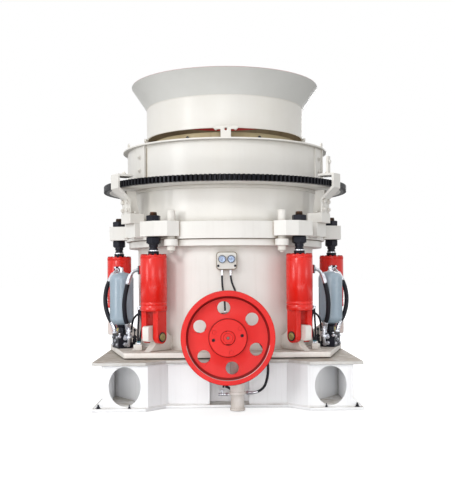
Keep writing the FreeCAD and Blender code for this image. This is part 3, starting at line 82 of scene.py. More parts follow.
class Slot(Enum):
    """The record's material slots."""

    CREAM = "cream_paint"
    RED = "red_paint"
    RUBBER = "black_rubber"
    MACHINED = "machined_steel"
    WEAR = "wear_steel"
    GAUGE = "gauge_metal"
    BLACK = "black_steel"
    ZINC = "zinc_plate"
    BOTTLE = "bottle_paint"
    GEAR = "gear_black"
    HOSE = "hose_rubber"


def tone(colour: Colour) -> tuple[float, float, float, float]:
    """A colour written as on a screen, as the linear values that a shader takes.

    Args:
        colour: Red, green and blue from 0 to 255.

    Returns:
        Linear red, green, blue and an alpha of 1.
    """
    shares = [channel / 255 for channel in colour]
    linear = [s / 12.92 if s <= 0.04045 else ((s + 0.055) / 1.055) ** 2.4 for s in shares]
    return (linear[0], linear[1], linear[2], 1.0)


class Nodes:
    """Places and links nodes in one shader tree."""

    def __init__(self, tree: bpy.types.NodeTree) -> None:
        """Keeps the tree that the nodes go into."""
        self.tree = tree

    def add(
        self, kind: str, inputs: dict[Any, Any] | None = None, **settings: Any
    ) -> bpy.types.Node:
        """Adds one node.

        Args:
            kind: The node's type.
            inputs: Values or sockets by input name or number.
            **settings: Properties of the node.

        Returns:
            The new node.
        """
        made = self.tree.nodes.new(kind)
        for key, value in settings.items():
            setattr(made, key, value)
        for key, value in (inputs or {}).items():
            if isinstance(value, bpy.types.NodeSocket):
                self.tree.links.new(value, made.inputs[key])
            else:
                made.inputs[key].default_value = value
        return made

    def group(self, tree: bpy.types.NodeTree, **values: float) -> bpy.types.Node:
        """Adds a shader group.

        Args:
            tree: The group's tree.
            **values: Its inputs' values by their names.

        Returns:
            The new node.
        """
        return self.add("ShaderNodeGroup", values, node_tree=tree)

    def sum(self, operation: str, first: Any, second: Any = 0.0) -> bpy.types.NodeSocket:
        """One step of arithmetic on values or sockets, as a socket."""
        made = self.add("ShaderNodeMath", {0: first, 1: second}, operation=operation)
        return made.outputs[0]

    def span(
        self, value: Any, low: Any, high: Any, first: Any = 0.0, last: Any = 1.0
    ) -> bpy.types.NodeSocket:
        """Carries a value over from the range low to high to the range first to last.

        Args:
            value: A value or a socket.
            low: Where the first range starts.
            high: Where the first range ends.
            first: What low becomes.
            last: What high becomes.

        Returns:
            The socket of the new value, which stays within first and last.
        """
        made = self.add("ShaderNodeMapRange", {0: value, 1: low, 2: high, 3: first, 4: last})
        return made.outputs[0]

    def mix(self, share: Any, first: Any, second: Any) -> bpy.types.NodeSocket:
        """Mixes two colours by a share, as a socket."""
        made = self.add("ShaderNodeMix", {0: share, 6: first, 7: second}, data_type="RGBA")
        return made.outputs[2]

    def noise(
        self, place: Any, scale: Any, detail: float = 3.0, rough: float = 0.55
    ) -> bpy.types.NodeSocket:
        """A cloudy value from 0 to 1 at a place, as a socket.

        Args:
            place: The socket of the place.
            scale: How many clouds there are to a metre.
            detail: How many finer layers it has.
            rough: How strong the finer layers are.

        Returns:
            The socket of the value.
        """
        made = self.add(
            "ShaderNodeTexNoise",
            {"Vector": place, "Scale": scale, "Detail": detail, "Roughness": rough},
        )
        return made.outputs[0]


def emptied(owner: bpy.types.Material | bpy.types.World) -> Nodes:
    """Clears the shader tree of a material or a world.

    Args:
        owner: The material or the world.

    Returns:
        The tree's nodes, of which there are none yet.
    """
    owner.use_nodes = True
    owner.node_tree.nodes.clear()
    return Nodes(owner.node_tree)


def effect(
    name: str, inputs: dict[str, float], outputs: Sequence[str]
) -> tuple[Nodes, bpy.types.Node, bpy.types.Node]:
    """Starts a shader node group with named sockets.

    Args:
        name: The group's name.
        inputs: Each input's name and starting value.
        outputs: Each output's name.

    Returns:
        The group's nodes, its input node and its output node.
    """
    tree = bpy.data.node_groups.new(name, "ShaderNodeTree")
    for label, value in inputs.items():
        socket = tree.interface.new_socket(label, in_out="INPUT", socket_type="NodeSocketFloat")
        socket.default_value = value
    for label in outputs:
        tree.interface.new_socket(label, in_out="OUTPUT", socket_type="NodeSocketFloat")
    nodes = Nodes(tree)
    return nodes, nodes.add("NodeGroupInput"), nodes.add("NodeGroupOutput")


@cache
def coat_relief() -> bpy.types.NodeTree:
    """Fine and coarse unevenness of a cast or sprayed surface, and broad patches of tone."""
    nodes, given, out = effect(
        "coat_relief", {"Fine": 200.0, "Coarse": 25.0, "Patch": 2.5}, ["Height", "Patches"]
    )
    place = nodes.add("ShaderNodeTexCoord").outputs["Object"]
    fine = nodes.noise(place, given.outputs["Fine"], 4.0)
    coarse = nodes.noise(place, given.outputs["Coarse"], 3.0)
    fine, coarse = nodes.sum("MULTIPLY", fine, 0.45), nodes.sum("MULTIPLY", coarse, 0.55)
    height = nodes.sum("ADD", fine, coarse)
    patches = nodes.span(nodes.noise(place, given.outputs["Patch"], 5.0, 0.62), 0.32, 0.68)
    nodes.tree.links.new(height, out.inputs["Height"])
    nodes.tree.links.new(patches, out.inputs["Patches"])
    return nodes.tree


@cache
def edge_wear() -> bpy.types.NodeTree:
    """Where an outside edge has been rubbed, broken up by noise."""
    inputs = {"Width": 0.004, "Breakup": 60.0, "Amount": 0.5}
    nodes, given, out = effect("edge_wear", inputs, ["Mask"])
    rounded = nodes.add("ShaderNodeBevel", {"Radius": given.outputs["Width"]}, samples=4)
    flat = nodes.add("ShaderNodeNewGeometry").outputs["Normal"]
    dot = nodes.add(
        "ShaderNodeVectorMath", {0: rounded.outputs[0], 1: flat}, operation="DOT_PRODUCT"
    )
    edge = nodes.span(dot.outputs["Value"], 0.995, 0.86)
    place = nodes.add("ShaderNodeTexCoord").outputs["Object"]
    broken = nodes.noise(place, given.outputs["Breakup"], 5.0, 0.7)
    least = nodes.span(given.outputs["Amount"], 0.0, 1.0, 0.78, 0.36)
    chips = nodes.span(broken, least, nodes.sum("ADD", least, 0.06))
    nodes.tree.links.new(nodes.sum("MULTIPLY", edge, chips), out.inputs["Mask"])
    return nodes.tree


@cache
def dirt_and_corner_shade() -> bpy.types.NodeTree:
    """Soiling and painted shade in corners and seams from ambient occlusion, dust on what faces up,
    and faint runs down upright faces.
    """
    nodes, given, out = effect(
        "dirt_and_corner_shade",
        {"Reach": 0.08, "Grime": 0.5, "Dust": 0.3, "Runs": 0.2},
        ["Corner", "Dust", "Runs"],
    )
    # The ambient occlusion darkens corners and seams: partly soiling, partly painted shade.
    shade = nodes.add("ShaderNodeAmbientOcclusion", {"Distance": given.outputs["Reach"]}, samples=6)
    hidden = nodes.sum("SUBTRACT", 1.0, shade.outputs["AO"])
    place = nodes.add("ShaderNodeTexCoord").outputs["Object"]
    cloud = nodes.span(nodes.noise(place, 14.0, 5.0, 0.65), 0.25, 0.75, 0.35, 1.0)
    near = nodes.sum("MULTIPLY", given.outputs["Reach"], 0.22)
    tight = nodes.add("ShaderNodeAmbientOcclusion", {"Distance": near}, samples=6)
    seam = nodes.span(nodes.sum("SUBTRACT", 1.0, tight.outputs["AO"]), 0.3, 0.75)
    corner = nodes.sum("MULTIPLY", nodes.span(hidden, 0.15, 0.85), cloud)
    corner = nodes.sum("MAXIMUM", corner, nodes.sum("MULTIPLY", seam, 1.1))
    normal = nodes.add("ShaderNodeNewGeometry").outputs["Normal"]
    up = nodes.add("ShaderNodeSeparateXYZ", {0: normal})
    level = nodes.span(up.outputs["Z"], 0.55, 0.95)
    dusty = nodes.span(nodes.noise(place, 9.0, 6.0, 0.7), 0.3, 0.7, 0.2, 1.0)
    dust = nodes.sum("MULTIPLY", nodes.sum("MULTIPLY", level, dusty), given.outputs["Dust"])
    drawn = nodes.add("ShaderNodeMapping", {"Vector": place, "Scale": (26.0, 26.0, 1.3)})
    streak = nodes.span(nodes.noise(drawn.outputs[0], 1.0, 4.0, 0.6), 0.52, 0.76)
    upright = nodes.span(nodes.sum("ABSOLUTE", up.outputs["Z"]), 0.5, 0.2)
    runs = nodes.sum("MULTIPLY", nodes.sum("MULTIPLY", streak, upright), given.outputs["Runs"])
    corner = nodes.sum("MULTIPLY", corner, given.outputs["Grime"])
    nodes.tree.links.new(corner, out.inputs["Corner"])
    nodes.tree.links.new(dust, out.inputs["Dust"])
    nodes.tree.links.new(runs, out.inputs["Runs"])
    return nodes.tree


@cache
def tool_marks() -> bpy.types.NodeTree:
    """Fine parallel marks of turning or grinding, as a height and as a value."""
    nodes, given, out = effect("tool_marks", {"Along": 30.0, "Across": 900.0}, ["Height", "Value"])
    place = nodes.add("ShaderNodeTexCoord").outputs["Object"]
    scale = nodes.add(
        "ShaderNodeCombineXYZ",
        {0: given.outputs["Along"], 1: given.outputs["Along"], 2: given.outputs["Across"]},
    )
    drawn = nodes.add("ShaderNodeMapping", {"Vector": place, "Scale": scale.outputs[0]})
    marks = nodes.noise(drawn.outputs[0], 1.0, 3.0, 0.6)
    nodes.tree.links.new(marks, out.inputs["Height"])
    nodes.tree.links.new(nodes.span(marks, 0.3, 0.7), out.inputs["Value"])
    return nodes.tree


@cache
def rust_bloom() -> bpy.types.NodeTree:
    """Patches where bare steel has rusted."""
    nodes, given, out = effect("rust_bloom", {"Scale": 40.0, "Cover": 0.3}, ["Mask"])
    place = nodes.add("ShaderNodeTexCoord").outputs["Object"]
    broad = nodes.noise(place, given.outputs["Scale"], 8.0, 0.72)
    least = nodes.span(given.outputs["Cover"], 0.0, 1.0, 0.75, 0.3)
    patch = nodes.span(broad, least, nodes.sum("ADD", least, 0.14))
    nodes.tree.links.new(patch, out.inputs["Mask"])
    return nodes.tree


@dataclass
class Coat:
    """What a surface shows while its layers are added: values or sockets.

    Attributes:
        colour: Its colour.
        rough: Its roughness.
        height: Its relief.
        metallic: Its share of bare metal.
    """

    colour: Any
    rough: Any
    height: Any
    metallic: Any


@dataclass(frozen=True)
class Finish:
    """One surface finish, with the values of its shader groups.

    Attributes:
        name: The material's name.
        colour: Its main colour, as on a screen.
        patch: The colour of its broad uneven patches.
        grime_and_shade: The colour of its runs, and of the soiling and painted shade in its
            corners.
        bare: What shows where its edges are rubbed.
        metallic: Its share of bare metal.
        roughness: Its roughness.
        uneven: How much its roughness varies from patch to patch.
        relief: The strength of its relief.
        depth: The depth of its relief in metres.
        fine: The scale of the fine relief.
        coarse: The scale of the coarse relief.
        patchy: The scale of its patches.
        wear: How much of its edges is rubbed.
        wear_width: The width of a rubbed edge in metres.
        corner: How dark its corners are, from soiling and painted shade.
        reach: How far the soiling and painted shade reach out of a corner, in metres.
        dust: How much dust lies on what faces up.
        runs: How strong the runs down its upright faces are.
        rust: How much of it has rusted.
        marks: How strong its tool marks are.
        marks_across: The scale of its tool marks.
        coat: How much clear lacquer is on it.
        specular: How strongly it mirrors what is in front of it.
        slot: The material slot of the record that it belongs to. Not used.
    """

    name: str
    colour: Colour
    patch: Colour
    grime_and_shade: Colour = (128, 108, 84)
    bare: Colour = (120, 112, 104)
    metallic: float = 0.0
    roughness: float = 0.4
    uneven: float = 0.12
    relief: float = 0.12
    depth: float = 0.0006
    fine: float = 240.0
    coarse: float = 28.0
    patchy: float = 2.2
    wear: float = 0.25
    wear_width: float = 0.004
    corner: float = 0.5
    reach: float = 0.08
    dust: float = 0.15
    runs: float = 0.12
    rust: float = 0.0
    marks: float = 0.0
    marks_across: float = 900.0
    coat: float = 0.0
    specular: float = 0.5
    slot: Slot = Slot.CREAM

    def material(self) -> bpy.types.Material:
        """The material of this finish, made once.

        Returns:
            The Blender material.
        """
        known = bpy.data.materials.get(self.name)
        if known is not None:
            return known
        made = bpy.data.materials.new(self.name)
        nodes = emptied(made)
        coat = self.base_coat(nodes)
        if self.marks > 0:
            self.add_marks(nodes, coat)
        if self.rust > 0:
            self.add_rust(nodes, coat)
        if self.wear > 0:
            worn = nodes.group(edge_wear(), Width=self.wear_width, Amount=self.wear)
            coat.colour = nodes.mix(worn.outputs["Mask"], coat.colour, tone(self.bare))
        self.add_dirt_and_shade(nodes, coat)
        bump = nodes.add("ShaderNodeBump", {
            "Height": coat.height, "Strength": self.relief, "Distance": self.depth,
        })
        shader = nodes.add("ShaderNodeBsdfPrincipled", {
            "Base Color": coat.colour, "Roughness": coat.rough, "Metallic": coat.metallic,
            "Normal": bump.outputs[0], "Specular IOR Level": self.specular,
            "Coat Weight": self.coat, "Coat Roughness": LACQUER_ROUGHNESS,
        })
        nodes.add("ShaderNodeOutputMaterial", {"Surface": shader.outputs[0]})
        return made

    def base_coat(self, nodes: Nodes) -> Coat:
        """Starts the surface with its patches and its relief.

        Args:
            nodes: The material's nodes.

        Returns:
            The surface so far.
        """
        relief = nodes.group(coat_relief(), Fine=self.fine, Coarse=self.coarse, Patch=self.patchy)
        patches, half = relief.outputs["Patches"], self.uneven / 2
        colour = nodes.mix(patches, tone(self.colour), tone(self.patch))
        rough = nodes.span(patches, 0.0, 1.0, self.roughness - half, self.roughness + half)
        return Coat(colour, rough, relief.outputs["Height"], self.metallic)

    def add_marks(self, nodes: Nodes, coat: Coat) -> None:
        """Adds the fine lines of turning to a surface."""
        lines = nodes.group(tool_marks(), Across=self.marks_across)
        share = nodes.sum("MULTIPLY", lines.outputs["Value"], self.marks)
        darker = tone(tuple(round(channel * MARK_SHADE) for channel in self.colour))
        coat.colour = nodes.mix(share, coat.colour, darker)
        rise = nodes.sum("MULTIPLY", lines.outputs["Height"], self.marks)
        coat.height = nodes.sum("ADD", coat.height, rise)

    def add_rust(self, nodes: Nodes, coat: Coat) -> None:
        """Adds patches of rust to a surface, which dull it."""
        mask = nodes.group(rust_bloom(), Cover=self.rust).outputs["Mask"]
        coat.colour = nodes.mix(mask, coat.colour, tone(RUST))
        coat.rough = nodes.span(mask, 0.0, 1.0, coat.rough, WEATHERED_ROUGHNESS)
        coat.metallic = nodes.span(mask, 0.0, 1.0, coat.metallic, 0.0)

    def add_dirt_and_shade(self, nodes: Nodes, coat: Coat) -> None:
        """Adds soiling and painted shade in corners, runs and dust to a surface, which dull it."""
        soiling_and_shade = nodes.group(
            dirt_and_corner_shade(), Reach=self.reach, Grime=self.corner, Dust=self.dust, Runs=self.runs
        )
        # Corners darken with soiling and painted shade; runs are soiling only.
        darkened = nodes.sum("MAXIMUM", soiling_and_shade.outputs["Corner"], soiling_and_shade.outputs["Runs"])
        coat.colour = nodes.mix(darkened, coat.colour, tone(self.grime_and_shade))
        coat.colour = nodes.mix(soiling_and_shade.outputs["Dust"], coat.colour, tone(DUST))
        cover = nodes.sum("MAXIMUM", darkened, soiling_and_shade.outputs["Dust"])
        coat.rough = nodes.span(cover, 0.0, 1.0, coat.rough, WEATHERED_ROUGHNESS)


@dataclass(frozen=True)
class Glass:
    """Clear glass of a gauge."""

    name: str = "gauge_glass"
    refraction: float = 1.12
    smears: tuple[float, float] = (0.02, 0.12)
    slot: Slot = Slot.GAUGE

    def material(self) -> bpy.types.Material:
        """The glass, with faint smears that change its roughness.

        Returns:
            The Blender material.
        """
        known = bpy.data.materials.get(self.name)
        if known is not None:
            return known
        made = bpy.data.materials.new(self.name)
        nodes = emptied(made)
        place = nodes.add("ShaderNodeTexCoord").outputs["Object"]
        rough = nodes.span(nodes.noise(place, 60.0), 0.3, 0.7, *self.smears)
        shader = nodes.add("ShaderNodeBsdfPrincipled", {
            "Base Color": (1, 1, 1, 1), "Roughness": rough, "IOR": self.refraction,
            "Transmission Weight": 1.0,
        })
        nodes.add("ShaderNodeOutputMaterial", {"Surface": shader.outputs[0]})
        return made


CREAM = Finish(
    "cream_enamel", (233, 231, 226), (228, 225, 218), grime_and_shade=(140, 124, 100), bare=(150, 144, 136),
    roughness=0.38, relief=0.08, wear=0.12, corner=0.7, reach=0.06, dust=0.3, runs=0.025, coat=0.08,
)
# A darker cream for the downward-facing flare: painted shade.
FLARE_CREAM_SHADED = Finish(
    "cream_flare_painted_shade", (216, 216, 213), (210, 210, 206), grime_and_shade=(134, 120, 98), bare=(150, 144, 136),
    roughness=0.42, relief=0.08, wear=0.12, corner=0.8, reach=0.10, dust=0.3, runs=0.03, coat=0.05,
)
BASE_WHITE = Finish(
    "base_enamel", (244, 245, 247), (238, 239, 241), grime_and_shade=(120, 110, 98), bare=(150, 146, 140),
    roughness=0.42, relief=0.12, fine=160.0, coarse=20.0, wear=0.16, corner=0.4, reach=0.05,
    dust=0.95, runs=0.10, coat=0.05,
)
# The deck's darker, greyer tone is dust together with painted shade.
BASE_DECK_DUST_AND_SHADE = Finish(
    "base_deck_dust_and_shade", (216, 215, 213), (184, 181, 176), grime_and_shade=(112, 102, 90),
    bare=(150, 146, 140), roughness=0.5, relief=0.12, fine=160.0, coarse=20.0, patchy=5.0,
    wear=0.2, corner=0.4, reach=0.05, dust=0.95, runs=0.10,
)
CREAM_CAST = Finish(
    "cream_on_casting", (235, 234, 230), (229, 227, 222), grime_and_shade=(140, 116, 86),
    bare=(150, 142, 132), roughness=0.42, relief=0.30, depth=0.0012, fine=110.0, coarse=16.0,
    wear=0.14, corner=0.7, reach=0.10, dust=0.35, runs=0.06, coat=0.05,
)
FOOT_CAST = Finish(
    "cream_on_foot", (238, 235, 231), (230, 225, 219), grime_and_shade=(132, 104, 76), bare=(150, 142, 132),
    roughness=0.46, relief=0.30, depth=0.0012, fine=110.0, coarse=16.0, wear=0.3, corner=0.6,
    reach=0.08, dust=0.8, runs=0.1,
)
# Soiled cream for the drain; on the housing behind the sheave its darker tone is also painted
# shade.
DIRTY_AND_SHADED_CAST = Finish(
    "dusty_casting_and_shade", (226, 221, 217), (200, 190, 180), grime_and_shade=(96, 76, 56), bare=(150, 142, 132),
    roughness=0.55, relief=0.35, depth=0.0012, fine=110.0, coarse=16.0, patchy=7.0, wear=0.3,
    corner=0.9, reach=0.10, dust=0.6, runs=0.4,
)
# A dark primer that paints the shade inside the hopper's lower part and round the gauge box's lid.
SHADED_PRIMER = Finish(
    "primer_painted_shade", (124, 112, 82), (104, 90, 62), grime_and_shade=(64, 50, 34), roughness=0.66,
    relief=0.3, depth=0.001, wear=0.2, corner=0.7, reach=0.12, dust=0.2, runs=0.4,
)
CREAM_INSIDE = Finish(
    "primer_inside", (188, 174, 140), (160, 144, 108), grime_and_shade=(104, 82, 54), roughness=0.62,
    relief=0.3, depth=0.001, wear=0.3, corner=0.6, reach=0.12, dust=0.25, runs=0.3,
)
RED = Finish(
    "red_enamel", (230, 34, 22), (220, 30, 20), grime_and_shade=(92, 26, 20), bare=(150, 120, 110),
    roughness=0.27, uneven=0.02, relief=0.02, coarse=9.0, wear=0.14, corner=0.6, reach=0.04,
    dust=0.05, runs=0.03, coat=0.12, specular=0.4, slot=Slot.RED,
)
# Its strong corner darkening also paints the shade in the sheave's dish.
RED_CAST = Finish(
    "red_on_casting", (224, 40, 36), (210, 33, 31), grime_and_shade=(74, 22, 20), bare=(150, 120, 110),
    roughness=0.38, relief=0.34, depth=0.001, fine=130.0, coarse=18.0, wear=0.16, corner=0.95,
    reach=0.10, dust=0.06, runs=0.05, coat=0.05, specular=0.2, slot=Slot.RED,
)
# A dark red that paints the shade on the sheave's inner wall and round its hub.
RED_PAINTED_SHADE = Finish(
    "red_in_shade", (150, 26, 26), (112, 20, 20), grime_and_shade=(48, 16, 14), bare=(140, 110, 100),
    roughness=0.5, relief=0.34, depth=0.001, wear=0.0, corner=0.9, reach=0.06, dust=0.1,
    specular=0.2, slot=Slot.RED,
)
RED_LINING = Finish(
    "red_lining", (176, 32, 30), (150, 28, 26), grime_and_shade=(74, 40, 32), roughness=0.55, relief=0.3,
    wear=0.5, wear_width=0.008, corner=0.5, dust=0.3, runs=0.35, specular=0.3,
)
BLACK_NUT = Finish(
    "black_oxide", (28, 30, 42), (21, 22, 32), grime_and_shade=(58, 50, 42), bare=(120, 120, 126),
    metallic=0.2, roughness=0.34, relief=0.16, fine=300.0, wear=0.35, wear_width=0.002,
    corner=0.3, reach=0.02, dust=0.15, runs=0.0, specular=0.3, slot=Slot.BLACK,
)
THREAD = Finish(
    "oiled_thread", (62, 52, 46), (84, 58, 40), grime_and_shade=(50, 38, 30), metallic=0.5, roughness=0.45,
    relief=0.2, wear=0.3, wear_width=0.0015, corner=0.4, reach=0.02, dust=0.1, rust=0.55,
    slot=Slot.BLACK,
)
CHROME = Finish(
    "bright_plate", (228, 230, 236), (208, 211, 220), grime_and_shade=(44, 44, 48), metallic=1.0,
    roughness=0.28, uneven=0.1, relief=0.05, wear=0.0, corner=0.5, reach=0.02, dust=0.04, runs=0.0,
    slot=Slot.GAUGE,
)
ZINC = Finish(
    "yellow_zinc", (190, 178, 112), (160, 150, 104), grime_and_shade=(84, 72, 48), metallic=0.85,
    roughness=0.36, relief=0.14, wear=0.3, wear_width=0.002, corner=0.4, reach=0.02, runs=0.0,
    slot=Slot.ZINC,
)
STEEL = Finish(
    "turned_steel", (176, 176, 174), (160, 160, 160), grime_and_shade=(86, 74, 60), metallic=0.9,
    roughness=0.36, relief=0.12, wear=0.0, corner=0.45, reach=0.04, dust=0.1, rust=0.06, marks=0.5,
    slot=Slot.MACHINED,
)
WEAR_STEEL = Finish(
    "manganese_casting", (112, 106, 100), (92, 86, 80), grime_and_shade=(70, 56, 44), metallic=0.55,
    roughness=0.62, relief=0.5, depth=0.002, fine=90.0, coarse=14.0, wear=0.5, wear_width=0.006,
    corner=0.4, dust=0.4, runs=0.2, rust=0.35, slot=Slot.WEAR,
)
GEAR_BLACK = Finish(
    "oiled_gear", (15, 17, 27), (9, 10, 18), grime_and_shade=(70, 62, 54), bare=(112, 114, 122),
    metallic=0.25, roughness=0.3, relief=0.25, fine=160.0, wear=0.4, wear_width=0.003,
    corner=0.25, reach=0.03, dust=0.12, runs=0.0, specular=0.25, slot=Slot.GEAR,
)
BOTTLE = Finish(
    "bottle_enamel", (158, 176, 189), (146, 164, 178), grime_and_shade=(96, 98, 98), bare=(150, 150, 150),
    roughness=0.3, relief=0.09, wear=0.12, corner=0.4, reach=0.05, dust=0.08, runs=0.08, coat=0.3,
    slot=Slot.BOTTLE,
)
HOSE = Finish(
    "hose_cover", (26, 28, 38), (20, 21, 29), grime_and_shade=(72, 66, 58), roughness=0.55, relief=0.4,
    depth=0.0005, fine=500.0, coarse=60.0, wear=0.0, corner=0.2, reach=0.02, dust=0.1, runs=0.0,
    specular=0.3, slot=Slot.HOSE,
)
RUBBER = Finish(
    "black_rubber_sheet", (32, 31, 30), (40, 38, 36), grime_and_shade=(86, 76, 62), roughness=0.75,
    relief=0.4, depth=0.0008, wear=0.0, corner=0.3, dust=0.3, runs=0.0, slot=Slot.RUBBER,
)
DIAL = Finish(
    "dial_face", (176, 196, 228), (160, 184, 220), grime_and_shade=(150, 156, 166), roughness=0.45,
    relief=0.02, wear=0.0, corner=0.1, reach=0.01, dust=0.0, runs=0.0, slot=Slot.GAUGE,
)
GAUGE_CASE = Finish(
    "gauge_case_enamel", (216, 214, 208), (208, 206, 200), grime_and_shade=(96, 86, 74), roughness=0.4,
    relief=0.12, wear=0.2, corner=0.8, reach=0.03, dust=0.2, runs=0.1,
)
BEZEL = Finish(
    "gauge_bezel_steel", (104, 108, 116), (88, 92, 100), grime_and_shade=(40, 40, 44), metallic=0.9,
    roughness=0.3, relief=0.05, wear=0.0, corner=0.6, reach=0.01, dust=0.05, runs=0.0,
    slot=Slot.GAUGE,
)
# Print on the dials, and black that paints the shade in the sheave's deep holes and the shaft's
# centre hole.
INK_AND_SHADE = Finish(
    "dial_ink_and_hole_shade", (30, 34, 44), (24, 28, 36), roughness=0.5, relief=0.02, wear=0.0, corner=0.0,
    dust=0.0, runs=0.0, slot=Slot.BLACK,
)
TEAL = Finish(
    "teal_cap", (40, 128, 140), (34, 112, 124), roughness=0.4, relief=0.1, wear=0.0, corner=0.3,
    reach=0.01, dust=0.1, runs=0.0, slot=Slot.GAUGE,
)
AnyFinish = Finish | Glass


def around(azimuth: float) -> Matrix:
    """Turns what is built at the front to an azimuth."""
    return Matrix.Rotation(math.radians(azimuth), 4, "Z")


def at(x: float, y: float, z: float) -> Matrix:
    """Moves what is built at the origin."""
    return Matrix.Translation((x, y, z))


def facing(place: Point, direction: Point) -> Matrix:
    """Turns what is built along +Z to a direction, and moves it.

    Args:
        place: Where the local origin goes.
        direction: Where the local +Z points.

    Returns:
        The matrix that does both.
    """
    turn = Vector(direction).to_track_quat("Z", "Y").to_matrix().to_4x4()
    return Matrix.Translation(place) @ turn


def on_wall(azimuth: float, radius: float, z: float, x: float = 0.0) -> Matrix:
    """A place on an upright wall round the machine, with +Z outwards.

    Args:
        azimuth: Where the wall is.
        radius: The wall's distance from the vertical axis.
        z: How high the place is.
        x: How far it lies to the side.

    Returns:
        The place's frame.
    """
    return around(azimuth) @ facing((x, -radius, z), (0, -1, 0))


def upright(place: Matrix, angle: float = 0.0) -> Matrix:
    """Turns the frame of an upright face about its +Z until its +Y points up.

    Args:
        place: The face's frame, with +Z outwards.
        angle: How far it turns past that, in radians.

    Returns:
        The turned frame.
    """
    turn = place.to_3x3()
    up, side = turn @ Vector((0, 1, 0)), turn @ Vector((1, 0, 0))
    return place @ Matrix.Rotation(math.atan2(side.z, up.z) + angle, 4, "Z")


def disc(radius: float, low: float, high: float) -> list[tuple[float, float]]:
    """The profile of a solid disc or rod between two heights."""
    return [(0, low), (radius, low), (radius, high), (0, high)]


def circle(count: int) -> list[tuple[float, float]]:
    """Evenly spaced corners of a circle with a radius of 1."""
    return [
        (math.cos(math.tau * k / count), math.sin(math.tau * k / count)) for k in range(count)
    ]


def flowing(corners: Sequence[Point]) -> list[Vector]:
    """A smooth path with a route's points as the control points of a NURBS spline.

    Args:
        corners: The route's points.

    Returns:
        Places along the path, as Blender reads them from the spline.
    """
    data = bpy.data.curves.new("route", "CURVE")
    data.dimensions, data.resolution_u = "3D", 24
    spline = data.splines.new("NURBS")
    spline.points.add(len(corners) - 1)
    for point, corner in zip(spline.points, corners):
        point.co = (*corner, 1.0)
    spline.order_u, spline.use_endpoint_u = 3, True
    route = bpy.data.objects.new("route", data)
    mesh = bpy.data.meshes.new_from_object(route)
    places = [corner.co.copy() for corner in mesh.vertices]
    bpy.data.objects.remove(route)
    bpy.data.curves.remove(data)
    bpy.data.meshes.remove(mesh)
    return places


def along(path: Sequence[Vector], first: float, last: float, step: float = 9.0) -> list[Vector]:
    """The part of a path between two distances from its start.

    Args:
        path: Places along it.
        first: Where the part starts.
        last: Where the part ends.
        step: The distance between the places that are given back.

    Returns:
        Places along the part, evenly spaced.
    """
    lengths = [0.0]
    for before, after in zip(path, path[1:]):
        lengths.append(lengths[-1] + (after - before).length)
    count = max(2, round((last - first) / step))
    places, index = [], 0
    for number in range(count + 1):
        wanted = min(first + (last - first) * number / count, lengths[-1])
        while index < len(lengths) - 2 and lengths[index + 1] < wanted:
            index += 1
        run = lengths[index + 1] - lengths[index]
        share = (wanted - lengths[index]) / run if run else 0.0
        places.append(path[index].lerp(path[index + 1], share))
    return places


def length_of(path: Sequence[Vector]) -> float:
    """How long a path is."""
    return sum((after - before).length for before, after in zip(path, path[1:]))


